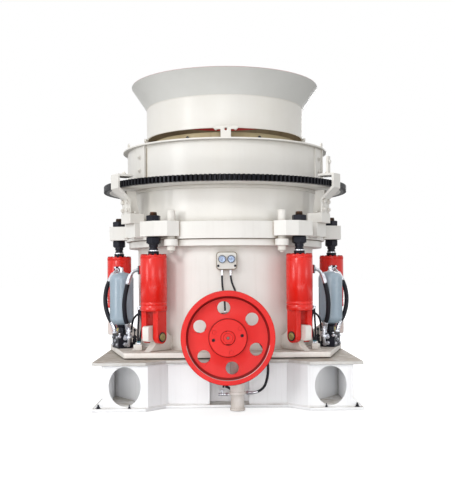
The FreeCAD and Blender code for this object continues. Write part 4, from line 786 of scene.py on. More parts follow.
class Shape:
    """A mesh under construction, in millimetres, which becomes one piece."""

    def __init__(self) -> None:
        """Starts with no faces, in the first finish."""
        self.mesh = bmesh.new()
        self.finish = 0

    def face(self, corners: Sequence[bmesh.types.BMVert]) -> None:
        """Adds one face in the finish that is in use."""
        if len(set(corners)) < 3:
            return
        made = self.mesh.faces.new(corners)
        made.material_index = self.finish

    def ring(self, places: Sequence[Vector | Point], place: Matrix | None = None) -> Ring:
        """Adds loose corners, moved by a matrix."""
        turn = place or Matrix()
        return [self.mesh.verts.new(turn @ Vector(p)) for p in places]

    def skin(self, rings: Sequence[Ring], closed: bool = False) -> None:
        """Joins rings of equal length one after another.

        Args:
            rings: The rings, each in the same order round.
            closed: Whether the last ring joins the first.
        """
        pairs = list(zip(rings, rings[1:]))
        if closed:
            pairs.append((rings[-1], rings[0]))
        for low, high in pairs:
            for index in range(len(low)):
                after = (index + 1) % len(low)
                self.face([low[index], low[after], high[after], high[index]])

    def lathe(
        self, profile: Profile, place: Matrix | None = None, turns: int = 96, closed: bool = True
    ) -> "Shape":
        """Turns a profile of radii and heights about the local Z axis.

        Args:
            profile: Radius and height of each corner.
            place: Where the local frame lies.
            turns: How many steps go round.
            closed: Whether the last corner joins the first.

        Returns:
            This shape.
        """
        rings: list[Ring] = []
        for radius, height in profile:
            if radius < 1e-6:
                rings.append(self.ring([(0, 0, height)], place) * turns)
                continue
            rings.append(self.ring(
                [(radius * x, radius * y, height) for x, y in circle(turns)], place
            ))
        pairs = list(zip(rings, rings[1:]))
        if closed:
            pairs.append((rings[-1], rings[0]))
        for low, high in pairs:
            if low[0] is low[-1] and high[0] is high[-1]:
                continue
            for index in range(turns):
                after = (index + 1) % turns
                corners = [low[index], low[after], high[after], high[index]]
                self.face(list(dict.fromkeys(corners)))
        return self

    def prism(
        self, outline: Profile, low: float, high: float, place: Matrix | None = None
    ) -> "Shape":
        """Raises a flat outline along the local Z axis.

        Args:
            outline: Its corners in the local XY plane.
            low: The lower height.
            high: The upper height.
            place: Where the local frame lies.

        Returns:
            This shape.
        """
        foot = self.ring([(x, y, low) for x, y in outline], place)
        top = self.ring([(x, y, high) for x, y in outline], place)
        self.skin([foot, top])
        self.face(foot[::-1])
        self.face(top)
        return self

    def block(self, lo: Point, hi: Point, place: Matrix | None = None) -> "Shape":
        """Adds a block between two corners."""
        outline = [(lo[0], lo[1]), (hi[0], lo[1]), (hi[0], hi[1]), (lo[0], hi[1])]
        return self.prism(outline, lo[2], hi[2], place)

    def hexagon(
        self, across: float, tall: float, place: Matrix | None = None, chamfer: float = 0.12
    ) -> "Shape":
        """Adds a hexagonal head or nut that stands on the local origin, chamfered at its top.

        Args:
            across: The width across its flats.
            tall: Its height.
            place: Where the local frame lies.
            chamfer: The chamfer's height as a share of the corner radius.

        Returns:
            This shape.
        """
        corner = across / math.sqrt(3)
        flat = corner * math.cos(math.pi / 6)
        sides, top = [corner, flat] * 6, [across / 2 * 0.96] * 12
        rings = [
            self.ring([(r * x, r * y, height) for r, (x, y) in zip(radii, circle(12))], place)
            for radii, height in ((sides, 0), (sides, tall - corner * chamfer), (top, tall))
        ]
        self.skin(rings)
        self.face(rings[0][::-1])
        self.face(rings[-1])
        return self

    def bolt(self, place: Matrix, across: float, tall: float, stud: float = 0.0) -> "Shape":
        """Adds a bolt head on its washer, with a stud end that stands proud if asked.

        Args:
            place: The washer's underside, with +Z outwards.
            across: The head's width across its flats.
            tall: The head's height.
            stud: How far a threaded end stands past the head.

        Returns:
            This shape.
        """
        washer = across * 0.95
        thick = max(2.0, across * 0.09)
        rim = [(washer, 0), (washer, thick * 0.7), (washer - 1, thick)]
        self.lathe([(0, 0), *rim, (0, thick)], place, 28)
        self.hexagon(across, tall, place @ at(0, 0, thick))
        if stud > 0:
            self.thread(place @ at(0, 0, thick + tall), across * 0.3, stud)
        return self

    def thread(self, place: Matrix, radius: float, tall: float, pitch: float = 4.0) -> "Shape":
        """Adds a threaded end with a chamfered tip.

        Args:
            place: Where it starts, with +Z outwards.
            radius: Its outside radius.
            tall: Its length.
            pitch: The distance between the threads.

        Returns:
            This shape.
        """
        profile = [(0.0, 0.0)]
        count = max(1, int(tall / pitch) - 1)
        for k in range(count):
            profile += [(radius * 0.9, k * pitch), (radius, (k + 0.5) * pitch)]
        profile += [(radius * 0.9, count * pitch), (radius * 0.86, tall), (0, tall)]
        return self.lathe(profile, place, 28)

    def tube(
        self, path: Sequence[Vector], radius: float | Callable[[float], float], sides: int = 18
    ) -> "Shape":
        """Sweeps a round section along a path.

        Args:
            path: Places along the centreline.
            radius: The section's radius, or a function of the share of the length passed.
            sides: How many faces go round.

        Returns:
            This shape.
        """
        rings: list[Ring] = []
        steep = abs((path[1] - path[0]).normalized().z) >= 0.9
        side = Vector((1, 0, 0)) if steep else Vector((0, 0, 1))
        for index, place in enumerate(path):
            before, after = path[max(index - 1, 0)], path[min(index + 1, len(path) - 1)]
            direction = (after - before).normalized()
            side = (side - direction * side.dot(direction)).normalized()
            other = direction.cross(side)
            share = index / (len(path) - 1)
            reach = radius(share) if callable(radius) else radius
            rings.append(self.ring(
                [place + (side * x + other * y) * reach for x, y in circle(sides)]
            ))
        self.skin(rings)
        self.face(rings[0][::-1])
        self.face(rings[-1])
        return self

    def bead(self, path: Sequence[Vector], size: float) -> "Shape":
        """Adds a rippled weld bead along evenly spaced places."""
        count = len(path) - 1
        return self.tube(path, lambda share: size * (1 + 0.1 * (-1) ** round(share * count)), 8)

    def weld(self, corners: Sequence[Point], size: float = 6.0, step: float = 7.0) -> "Shape":
        """Adds a rippled weld bead along straight runs.

        Args:
            corners: The places it runs through.
            size: Its radius.
            step: The distance between its ripples.

        Returns:
            This shape.
        """
        places = [Vector(c) for c in corners]
        return self.bead(along(places, 0, length_of(places), step), size)

    def weld_ring(self, radius: float, height: float, size: float) -> "Shape":
        """Adds a rippled weld bead round the vertical axis.

        Args:
            radius: The radius of its middle line.
            height: How high it lies.
            size: The bead's own radius.

        Returns:
            This shape.
        """
        count = max(12, round(math.tau * radius / 9))
        path = []
        for k in range(count + 1):
            angle = math.radians(360 * k / count)
            path.append(Vector((radius * math.sin(angle), -radius * math.cos(angle), height)))
        return self.bead(path, size)

    def cad(self, node: str) -> "Shape":
        """Takes over a CAD node's mesh, with its corners welded and flat faces joined."""
        self.mesh.from_mesh(bpy.data.objects[node].data)
        bmesh.ops.scale(self.mesh, vec=(1 / METRES,) * 3, verts=self.mesh.verts)
        bmesh.ops.remove_doubles(self.mesh, verts=self.mesh.verts, dist=0.01)
        bmesh.ops.dissolve_limit(
            self.mesh, angle_limit=math.radians(0.8), verts=self.mesh.verts, edges=self.mesh.edges
        )
        for made in self.mesh.faces:
            made.material_index = self.finish
        return self

    def cut(self, cutter: "Shape") -> "Shape":
        """Takes another shape's room out of this one."""
        keep, tool = self.plain("cut_keep"), cutter.plain("cut_tool")
        step = keep.modifiers.new("cut", "BOOLEAN")
        step.operation, step.object, step.solver = "DIFFERENCE", tool, "EXACT"
        graph = bpy.context.evaluated_depsgraph_get()
        result = bpy.data.meshes.new_from_object(keep.evaluated_get(graph))
        self.mesh = bmesh.new()
        self.mesh.from_mesh(result)
        for made in (keep, tool):
            data = made.data
            bpy.data.objects.remove(made)
            bpy.data.meshes.remove(data)
        bpy.data.meshes.remove(result)
        return self

    def plain(self, name: str) -> bpy.types.Object:
        """A bare object of this shape, still in millimetres."""
        bmesh.ops.recalc_face_normals(self.mesh, faces=self.mesh.faces)
        data = bpy.data.meshes.new(name)
        self.mesh.to_mesh(data)
        self.mesh.free()
        made = bpy.data.objects.new(name, data)
        bpy.context.scene.collection.objects.link(made)
        return made

    def make(
        self,
        name: str,
        finishes: AnyFinish | Sequence[AnyFinish],
        body: Body,
        replaces: Sequence[str] = (),
        bevel: float = 0.0,
        sharp: float = 32.0,
    ) -> bpy.types.Object:
        """Turns the shape into a piece that rides on a body.

        Args:
            name: The piece's name.
            finishes: Its finish, or its finishes by number.
            body: The body that it moves with.
            replaces: The CAD nodes that it stands for.
            bevel: The width of its rounded edges.
            sharp: The least angle between faces that makes an edge, in degrees.

        Returns:
            The object.
        """
        made = self.plain(name)
        data = made.data
        data.transform(Matrix.Scale(METRES, 4))
        worn = [finishes] if isinstance(finishes, (Finish, Glass)) else finishes
        for finish in worn:
            data.materials.append(finish.material())
        for polygon in data.polygons:
            polygon.use_smooth = True
        data.set_sharp_from_angle(angle=math.radians(sharp))
        if bevel > 0:
            edges = made.modifiers.new("edges", "BEVEL")
            edges.width, edges.segments = bevel * METRES, 2
            edges.limit_method, edges.angle_limit = "ANGLE", math.radians(sharp)
            edges.use_clamp_overlap = False
            edges.harden_normals = True
        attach(made, body.value)
        if replaces:
            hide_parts(*replaces)
        LOG.info("%s: %d faces", name, len(data.polygons))
        return made


def edged(node: str, finish: Finish, body: Body, bevel: float, sharp: float = 32.0) -> None:
    """Shows a CAD node with rounded edges.

    Args:
        node: The node's name.
        finish: Its finish.
        body: The body that it belongs to.
        bevel: The width of its rounded edges.
        sharp: The least angle between faces that makes an edge, in degrees.
    """
    Shape().cad(node).make(f"{node}_dressed", finish, body, [node], bevel, sharp)


@dataclass
class BaseFrame:
    """The welded base frame: plates, upright webs, weld beads and hold-down bolts."""

    side: float = 980
    front: float = 1120
    middle: float = 965
    step_out: float = 625
    step_in: float = 475
    recess: tuple[float, float] = (-144, 174)
    recess_wall: float = 18
    low: float = 24
    high: float = 358
    foot_top: float = 436
    bead_out: float = 2
    bead_off: float = 3
    hold_down: tuple[float, float] = (750, 640)
    anchors: Sequence[Point] = ((1012, 1126, 23), (769, 1134, 15), (738, 1010, 23))

    def build(self) -> None:
        """Dresses the plates and adds the welds and bolts."""
        for node, bevel in (("base_bottom_plate", 2.5), ("base_webs", 1.2), ("base_end_webs", 1.2)):
            edged(node, BASE_WHITE, Body.ROOT, bevel)
        # The top plate's deck is painted darker: dust together with painted shade.
        edged("base_top_plate", BASE_DECK_DUST_AND_SHADE, Body.ROOT, 2.5)
        edged("isolation_ring", RUBBER, Body.ROOT, 2.0)
        self.lay_welds()
        self.set_bolts()

    def lay_welds(self) -> None:
        """Lays the beads between the webs and both plates, round the outside."""
        welds = Shape()
        side, front, middle = (r + self.bead_out for r in (self.side, self.front, self.middle))
        left, right = self.recess[0] - self.recess_wall, self.recess[1] + self.recess_wall
        for z in (self.low + self.bead_off, self.high - self.bead_off):
            for sign, start in zip(SIDES, (left, right)):
                welds.weld([
                    (start, -middle, z), (sign * self.step_in, -middle, z),
                    (sign * self.step_out, -front, z), (sign * side, -front, z),
                    (sign * side, front, z), (sign * self.step_out, front, z),
                    (sign * self.step_in, middle, z), (0, middle, z),
                ], 5.0, 9.0)
        welds.make("base_welds", BASE_WHITE, Body.ROOT)

    def set_bolts(self) -> None:
        """Sets the nuts that hold the crusher down, and the base's own anchor bolts."""
        nuts, anchors = Shape(), Shape()
        washer, nut = 8, 36
        for sx in SIDES:
            for sy in SIDES:
                x, y = self.hold_down
                stud = at(sx * x, sy * y, self.foot_top)
                nuts.lathe(disc(46, 0, washer), stud, 40)
                nuts.hexagon(62, nut, stud @ at(0, 0, washer))
                nuts.thread(stud @ at(0, 0, washer + nut), 19, 18, 5)
                for x, y, across in self.anchors:
                    anchors.bolt(at(sx * x, sy * y, self.low), across, 14, 16)
        nuts.make("foot_bolts", CREAM_CAST, Body.ROOT, bevel=1.0)
        anchors.make("anchor_bolts", BLACK_NUT, Body.ROOT, bevel=0.8)


@dataclass
class MainFrame:
    """Foot, shell, top flange, guide pins, hub and lugs of the main frame."""

    shell_r: float = 797
    foot_top: float = 436
    shell_top: float = 1300
    pin_circle: float = 930
    pin_foot: float = 1262
    pin_azimuths: Sequence[float] = (-150.7, -29.3, 29.3, 150.7)
    ram_azimuths: Sequence[float] = (-38, 38, -90, 90, -142, 142)
    lug_half: float = 34
    lug_root_top: float = 556
    lug_foot: float = 1076
    side_lug_foot: float = 1040

    def build(self) -> None:
        """Dresses the castings and adds welds and small bolts."""
        edged("main_frame_foot", FOOT_CAST, Body.ROOT, 4)
        for node, bevel in (("main_frame_shell", 2), ("main_frame_flange", 4)):
            edged(node, CREAM_CAST, Body.ROOT, bevel)
        self.build_lugs()
        edged("main_frame_hub", CREAM_INSIDE, Body.ROOT, 3)
        edged("guide_pins", CREAM, Body.ROOT, 5)
        self.lay_welds()
        bolts = Shape()
        for azimuth in self.pin_azimuths:
            pin = around(azimuth) @ facing((0, -self.pin_circle, self.pin_foot), (0, 0, -1))
            bolts.bolt(pin, 36, 12)
        bolts.make("guide_pin_bolts", CREAM, Body.ROOT, bevel=1.0)

    def lay_welds(self) -> None:
        """Lays the beads at the shell's foot, below its flange and beside the lugs."""
        welds = Shape()
        wall = self.shell_r + 1
        welds.weld_ring(wall, self.foot_top + 2, 8)
        welds.weld_ring(wall, self.shell_top - 2, 8)
        for azimuth in self.ram_azimuths:
            for side in SIDES:
                x = side * (self.lug_half + 1)
                foot = around(azimuth) @ Vector((x, -wall, self.foot_top + 8))
                top = around(azimuth) @ Vector((x, -wall, self.lug_root_top))
                welds.weld([tuple(foot), tuple(top)], 7)
        welds.make("frame_welds", CREAM_CAST, Body.ROOT)

    def build_lugs(self) -> None:
        """Builds the hooked lugs that the cylinders' forks straddle."""
        standing = Matrix(((0, 0, 1, 0), (-1, 0, 0, 0), (0, 1, 0, 0), (0, 0, 0, 1)))
        root = self.shell_r - 6
        lugs = Shape()
        for azimuth in self.ram_azimuths:
            foot = self.side_lug_foot if abs(azimuth) == 90 else self.lug_foot
            outline = [
                (root, self.foot_top), (foot, self.foot_top), (foot - 16, 443), (foot - 40, 459),
                (foot - 64, 479), (foot - 81, 500), (foot - 88, 512), (foot - 80, 519),
                (1068, 519), (1080, 524), (1084, 534), (1084, 630), (1080, 640), (1068, 646),
                (948, 647), (920, 640), (880, 612), (840, 580), (815, 562),
                (root, self.lug_root_top),
            ]
            lugs.prism(outline, -self.lug_half, self.lug_half, around(azimuth) @ standing)
        lugs.make(
            "cylinder_lugs_dressed", CREAM_CAST, Body.ROOT, ["cylinder_lugs"],
            bevel=6, sharp=40,
        )


@dataclass
class Drive:
    """Countershaft housing with its bolts, the belt sheave and the drain.

    Each of the sheave's dents has an offset to the right and up, a radius and a depth.
    """

    height: float = 587
    face: float = -1400
    rim_r: float = 355
    width: float = 190
    hub_r: float = 142
    inner_r: float = 311
    web: tuple[float, float] = (40, 68)
    hub: tuple[float, float] = (16, 146)
    bush_r: float = 56
    hole_r: float = 49
    hole_circle: float = 229
    hole_first: float = 7.6
    grooves: int = 6
    dents: Sequence[tuple[float, float, float, float]] = (
        (-109, -15, 12, 34), (106, 18, 12, 34), (-102, 46, 17, 4), (92, 70, 17, 4),
        (25, -109, 17, 4),
    )
    housing_front: float = -1180
    housing_bolts: float = 166
    drain: tuple[float, float] = (75, -1128)
    hose_z: float = 140.6
    tap_z: float = 129

    def build(self) -> None:
        """Builds the sheave and dresses the rest of the drive."""
        self.build_sheave()
        self.build_bush()
        self.dress_housing()
        self.dress_drain()
        self.fit_drain()

    def place(self) -> Matrix:
        """The sheave's frame: +Z goes back along its axis, from its front face."""
        return facing((0, self.face, self.height), (0, 1, 0))

    def on_face(self, x: float, z: float, depth: float) -> Matrix:
        """A place on the sheave by its offset from the centre, with +Z towards the front."""
        return facing((x, self.face + depth, self.height + z), (0, -1, 0))

    def profile(self) -> list[tuple[float, float]]:
        """The sheave's section: hub, web, rim and belt grooves."""
        web_front, web_back = self.web
        hub_front, hub_back = self.hub
        inner, rim, hub = self.inner_r, self.rim_r, self.hub_r
        points = [
            (self.bush_r, hub_front), (hub - 4, hub_front), (hub, hub_front + 4),
            (hub, web_front - 6), (hub + 2, web_front - 2), (hub + 6, web_front),
            (inner - 20, web_front), (inner - 12, web_front - 2), (inner - 6, web_front - 8),
            (inner + 1, 7), (inner + 4, 2), (inner + 7, 0), (rim - 4, 0), (rim, 4),
        ]
        pitch, deep, mouth, bottom = self.width / self.grooves, 20, 11, 4.5
        for k in range(self.grooves):
            middle = (k + 0.5) * pitch
            points += [
                (rim, middle - mouth), (rim - deep, middle - bottom),
                (rim - deep, middle + bottom), (rim, middle + mouth),
            ]
        points += [
            (rim, self.width - 4), (rim - 4, self.width), (inner + 4, self.width),
            (inner, self.width - 4), (inner, web_back + 8), (inner - 8, web_back),
            (hub + 8, web_back), (hub, web_back + 8), (hub, hub_back - 4), (hub - 4, hub_back),
            (self.bush_r, hub_back),
        ]
        return points

    def build_sheave(self) -> None:
        """Turns the sheave, bores its web and marks its hub."""
        sheave = Shape().lathe(self.profile(), self.place(), 144)
        tools = Shape()
        r = self.hole_r
        for k in range(6):
            angle = math.radians(90 + self.hole_first + 60 * k)
            x, z = self.hole_circle * math.cos(angle), self.hole_circle * math.sin(angle)
            bore = [(0, -80), (r + 12, -80), (r, -44), (r, 44), (0, 44)]
            tools.lathe(bore, self.on_face(x, z, self.web[0]), 48)
        for x, z, radius, deep in self.dents:
            tools.lathe(disc(radius, -deep, 20), self.on_face(x, z, self.hub[0]), 32)
        sheave.cut(tools)
        self.paint(sheave)
        sheave.make(
            "belt_sheave", [RED_CAST, STEEL, RED_PAINTED_SHADE, INK_AND_SHADE], Body.DRIVE, ["sheave"],
            bevel=1.5, sharp=28,
        )

    def paint(self, sheave: Shape) -> None:
        """Numbers the finishes of the sheave's faces.

        Bare steel shows at the rubbed lower lip, a dark red paints the shade on the inner wall and
        round the hub, and black paints the shade in the hub's deep holes.

        Args:
            sheave: The sheave, whose other faces keep the first finish.
        """
        web_front, hub_front = self.web[0], self.hub[0]
        for made in sheave.mesh.faces:
            middle = made.calc_center_median()
            reach = math.hypot(middle.x, middle.z - self.height)
            depth = middle.y - self.face
            lip = self.inner_r + 4 < reach < self.inner_r + 7 and 0.2 < depth < 2
            wall = self.inner_r - 12 < reach < self.inner_r + 3 and depth > 3
            fillet = self.hub_r - 1 < reach < self.hub_r + 5 and depth > hub_front + 3
            hole = 60 < reach < self.hub_r - 8 and hub_front + 8 < depth < hub_front + 40
            if lip and middle.z < self.height - 60:
                made.material_index = 1
            # The inner wall and the hub's fillet take the dark red of painted shade.
            if (wall or fillet) and depth < web_front + 1:
                made.material_index = 2
            # The deep holes take black, as painted shade.
            if hole:
                made.material_index = 3

    def build_bush(self) -> None:
        """Builds the taper bush, its keyway and the shaft's centred end, whose centre hole is lined
        in black as painted shade.
        """
        r = self.bush_r
        bush = Shape().lathe([
            (35.4, 16), (38, 12), (r - 9, 12), (r - 5, 15), (r - 0.3, 21), (r - 0.3, 60),
            (35.4, 60),
        ], self.place(), 72)
        tools = Shape()
        for x, z in ((-14, 51), (50, -22)):
            tools.lathe(disc(5, -12, 12), self.on_face(x, z, 12), 24)
        tools.block((-14, 0, -55), (20, 30, -45), at(0, self.face, self.height))
        bush.cut(tools)
        bush.make("taper_bush", RED_CAST, Body.DRIVE, ["sheave_bush"], bevel=0.8)
        end = Shape().lathe([
            (0, 48), (11, 44), (11, 16), (12, 14), (34.5, 14), (35.2, 15), (35.2, 60), (0, 60),
        ], self.place(), 48)
        end.make("shaft_end", RED_CAST, Body.DRIVE)
        # The centre hole is lined in black, as painted shade.
        bore = Shape().lathe([
            (0, 43.5), (10.8, 43.5), (10.8, 15), (10.4, 15), (10.4, 43), (0, 43),
        ], self.place(), 32)
        bore.make("shaft_centre", INK_AND_SHADE, Body.DRIVE)

    def dress_housing(self) -> None:
        """Dresses the housing, bearings and shaft, and bolts the housing's flange."""
        # The housing's darker cream is soiling and also the painted shade behind the sheave.
        edged("countershaft_housing", DIRTY_AND_SHADED_CAST, Body.ROOT, 4)
        edged("countershaft_bearings", STEEL, Body.ROOT, 1.0)
        edged("countershaft", STEEL, Body.DRIVE, 1.5)
        heads = Shape()
        for k in range(12):
            angle = math.tau * (k + 0.5) / 12
            x, z = self.housing_bolts * math.cos(angle), self.housing_bolts * math.sin(angle)
            heads.bolt(facing((x, self.housing_front, self.height + z), (0, -1, 0)), 19, 9)
        heads.make("housing_bolts", BLACK_NUT, Body.ROOT, bevel=0.8)
        seal = Shape().lathe(
            [(62, 0), (128, 0), (128, 10), (122, 16), (70, 16), (62, 12)],
            facing((0, self.housing_front, self.height), (0, -1, 0)), 72,
        )
        seal.make("housing_seal", BLACK_NUT, Body.ROOT, bevel=1.0)

    def dress_drain(self) -> None:
        """Dresses the drain pipe and adds its collars."""
        edged("drain_pipe", DIRTY_AND_SHADED_CAST, Body.ROOT, 2.5)
        collars = Shape()
        stand = at(*self.drain, 0)
        for z, radius in ((128, 66), (214, 64)):
            collars.lathe([
                (50, z), (radius - 3, z), (radius, z + 4), (radius, z + 18), (radius - 4, z + 23),
                (50, z + 23),
            ], stand, 56)
        collars.lathe([(52, 22), (57, 22), (60, 18), (60, 6), (57, 4), (52, 4)], stand, 56)
        collars.make("drain_collars", DIRTY_AND_SHADED_CAST, Body.ROOT, bevel=1.5)

    def fit_drain(self) -> None:
        """Adds the drain's hose end, its tap and the elbow behind it."""
        y, right = self.drain[1], (1, 0, 0)
        fitting = Shape()
        fitting.hexagon(32, 18, facing((146, y, self.hose_z), right))
        fitting.lathe(disc(13, 0, 30), facing((164, y, self.hose_z), right), 24)
        fitting.hexagon(28, 12, facing((176, y, self.hose_z), right))
        tap = facing((18, y, self.tap_z), (-1, 0, 0))
        spout = [(9, 0), (9, 52), (12, 54), (12, 72), (8, 74), (8, 90)]
        fitting.lathe([(0, 0), *spout, (0, 90)], tap, 28)
        fitting.hexagon(26, 12, tap @ at(0, 0, 22))
        fitting.hexagon(24, 10, tap @ at(0, 0, 84))
        stem = facing((-44, y, self.tap_z), (0, 0, 1))
        fitting.lathe([(0, 0), (8, 0), (8, 24), (5, 26), (5, 34), (0, 34)], stem, 24)
        fitting.tube([Vector((-68, y, 161)), Vector((-22, y, 161))], 5, 14)
        fitting.make("drain_fitting", CHROME, Body.ROOT, bevel=0.8)
        elbow, y = Shape(), -1096
        route = [(-20, y, 188), (-6, y, 182), (14, y, 172), (30, y, 158)]
        elbow.tube(flowing(route), 10, 16)
        elbow.hexagon(30, 14, facing((-26, y, 190), (-1, 0, 0.3)))
        elbow.make("drain_elbow", BLACK_NUT, Body.ROOT)


@dataclass
class GaugePanel:
    """The gauge box on the shell with its two pressure gauges."""

    front: float = -859
    low: float = 1103
    high: float = 1250
    half: float = 86
    deep: float = 62
    corner: float = 26
    lid_thick: float = 6
    lid_in: float = 6
    gasket_in: float = 1.5
    gauge_z: float = 1189.7
    gauge_x: float = 37
    gauge_r: float = 32
    proud: float = 14
    screw: tuple[float, float] = (69, 1135)
    ticks: int = 20

    def build(self) -> None:
        """Builds the box, gauges and screws."""
        self.build_case()
        for name, sign in (("left", -1), ("right", 1)):
            self.build_gauge(name, sign)
        screws = Shape()
        for sign in SIDES:
            screws.lathe(
                [(0, 3), (3, 3), (3.5, 6), (8, 6), (9.5, 4), (10, 0), (0, 0)],
                facing((sign * self.screw[0], self.front, self.screw[1]), (0, -1, 0)), 24,
            )
        screws.make("gauge_case_screws", BLACK_NUT, Body.ROOT)

    def build_case(self) -> None:
        """Builds the rounded box, the gasket and the lid; the gasket's dark primer paints the
        shadow line round the lid.
        """
        tall = (self.high - self.low) / 2
        outline = []
        for sx, sz, first in ((1, 1, 0), (-1, 1, 90), (-1, -1, 180), (1, -1, 270)):
            for k in range(6):
                angle = math.radians(first + 18 * k)
                outline.append((
                    sx * (self.half - self.corner) + self.corner * math.cos(angle),
                    sz * (tall - self.corner) + self.corner * math.sin(angle),
                ))

        def inset(by: float) -> list[tuple[float, float]]:
            """The box's outline, smaller by a distance at its sides."""
            return [(x * (1 - by / self.half), y * (1 - by / tall)) for x, y in outline]

        place = upright(facing((0, self.front, (self.low + self.high) / 2), (0, -1, 0)))
        box = Shape().prism(outline, -self.deep, -9, place)
        box.prism(inset(self.lid_in), -self.lid_thick, 0, place)
        # The gasket's dark primer paints the shadow line round the lid.
        gasket = Shape().prism(inset(self.gasket_in), -9.2, -self.lid_thick, place)
        gasket.make("gauge_case_gasket_shade", SHADED_PRIMER, Body.ROOT)
        box.make(
            "gauge_case", GAUGE_CASE, Body.ROOT, ["gauge_box"], bevel=2, sharp=40
        )

    def build_gauge(self, name: str, sign: int) -> None:
        """Builds one gauge: bezel, dial, ticks, needle and glass.

        Args:
            name: Which gauge it is.
            sign: Its side, -1 or 1.
        """
        x, z, r, proud = sign * self.gauge_x, self.gauge_z, self.gauge_r, self.proud
        place = facing((x, self.front, z), (0, -1, 0))
        bezel = Shape().lathe([
            (0, -4), (r - 1, -4), (r, 2), (r, proud - 3), (r - 2, proud), (r - 5, proud),
            (r - 6, proud - 3), (r - 6, 6), (0, 6),
        ], place, 64)
        bezel.make(
            f"gauge_bezel_{name}", BEZEL, Body.ROOT,
            ["pressure_gauges"] if sign < 0 else [],
        )
        dial = Shape()
        dial.lathe([(0, 7.0), (r - 6.2, 7.0), (r - 6.2, 6.2), (0, 6.2)], place, 64)
        dial.finish = 1
        for k in range(self.ticks + 1):
            long, thick = (5.0, 0.6) if k % 5 == 0 else (2.8, 0.35)
            angle = math.radians(225 - 270 * k / self.ticks)
            tick = upright(facing((x, self.front - 7.05, z), (0, -1, 0)), angle)
            dial.block((r - 8 - long, -thick, 0), (r - 8, thick, 0.3), tick)
        needle = upright(place, math.radians(205 - 40 * sign))
        dial.prism([(-6, -1.2), (r - 11, -0.3), (r - 11, 0.3), (-6, 1.2)], 8.0, 8.6, needle)
        dial.lathe([(0, 7), (3, 7), (3, 9), (0, 9.4)], place, 20)
        dial.make(f"gauge_dial_{name}", [DIAL, INK_AND_SHADE], Body.ROOT)
        rim = r - 5.8
        pane = Shape().lathe(
            [(0, proud - 3.0), (rim, proud - 3.2), (rim, proud - 2.2), (0, proud - 1.6)], place, 48
        )
        pane.make(f"gauge_glass_{name}", Glass(), Body.ROOT)


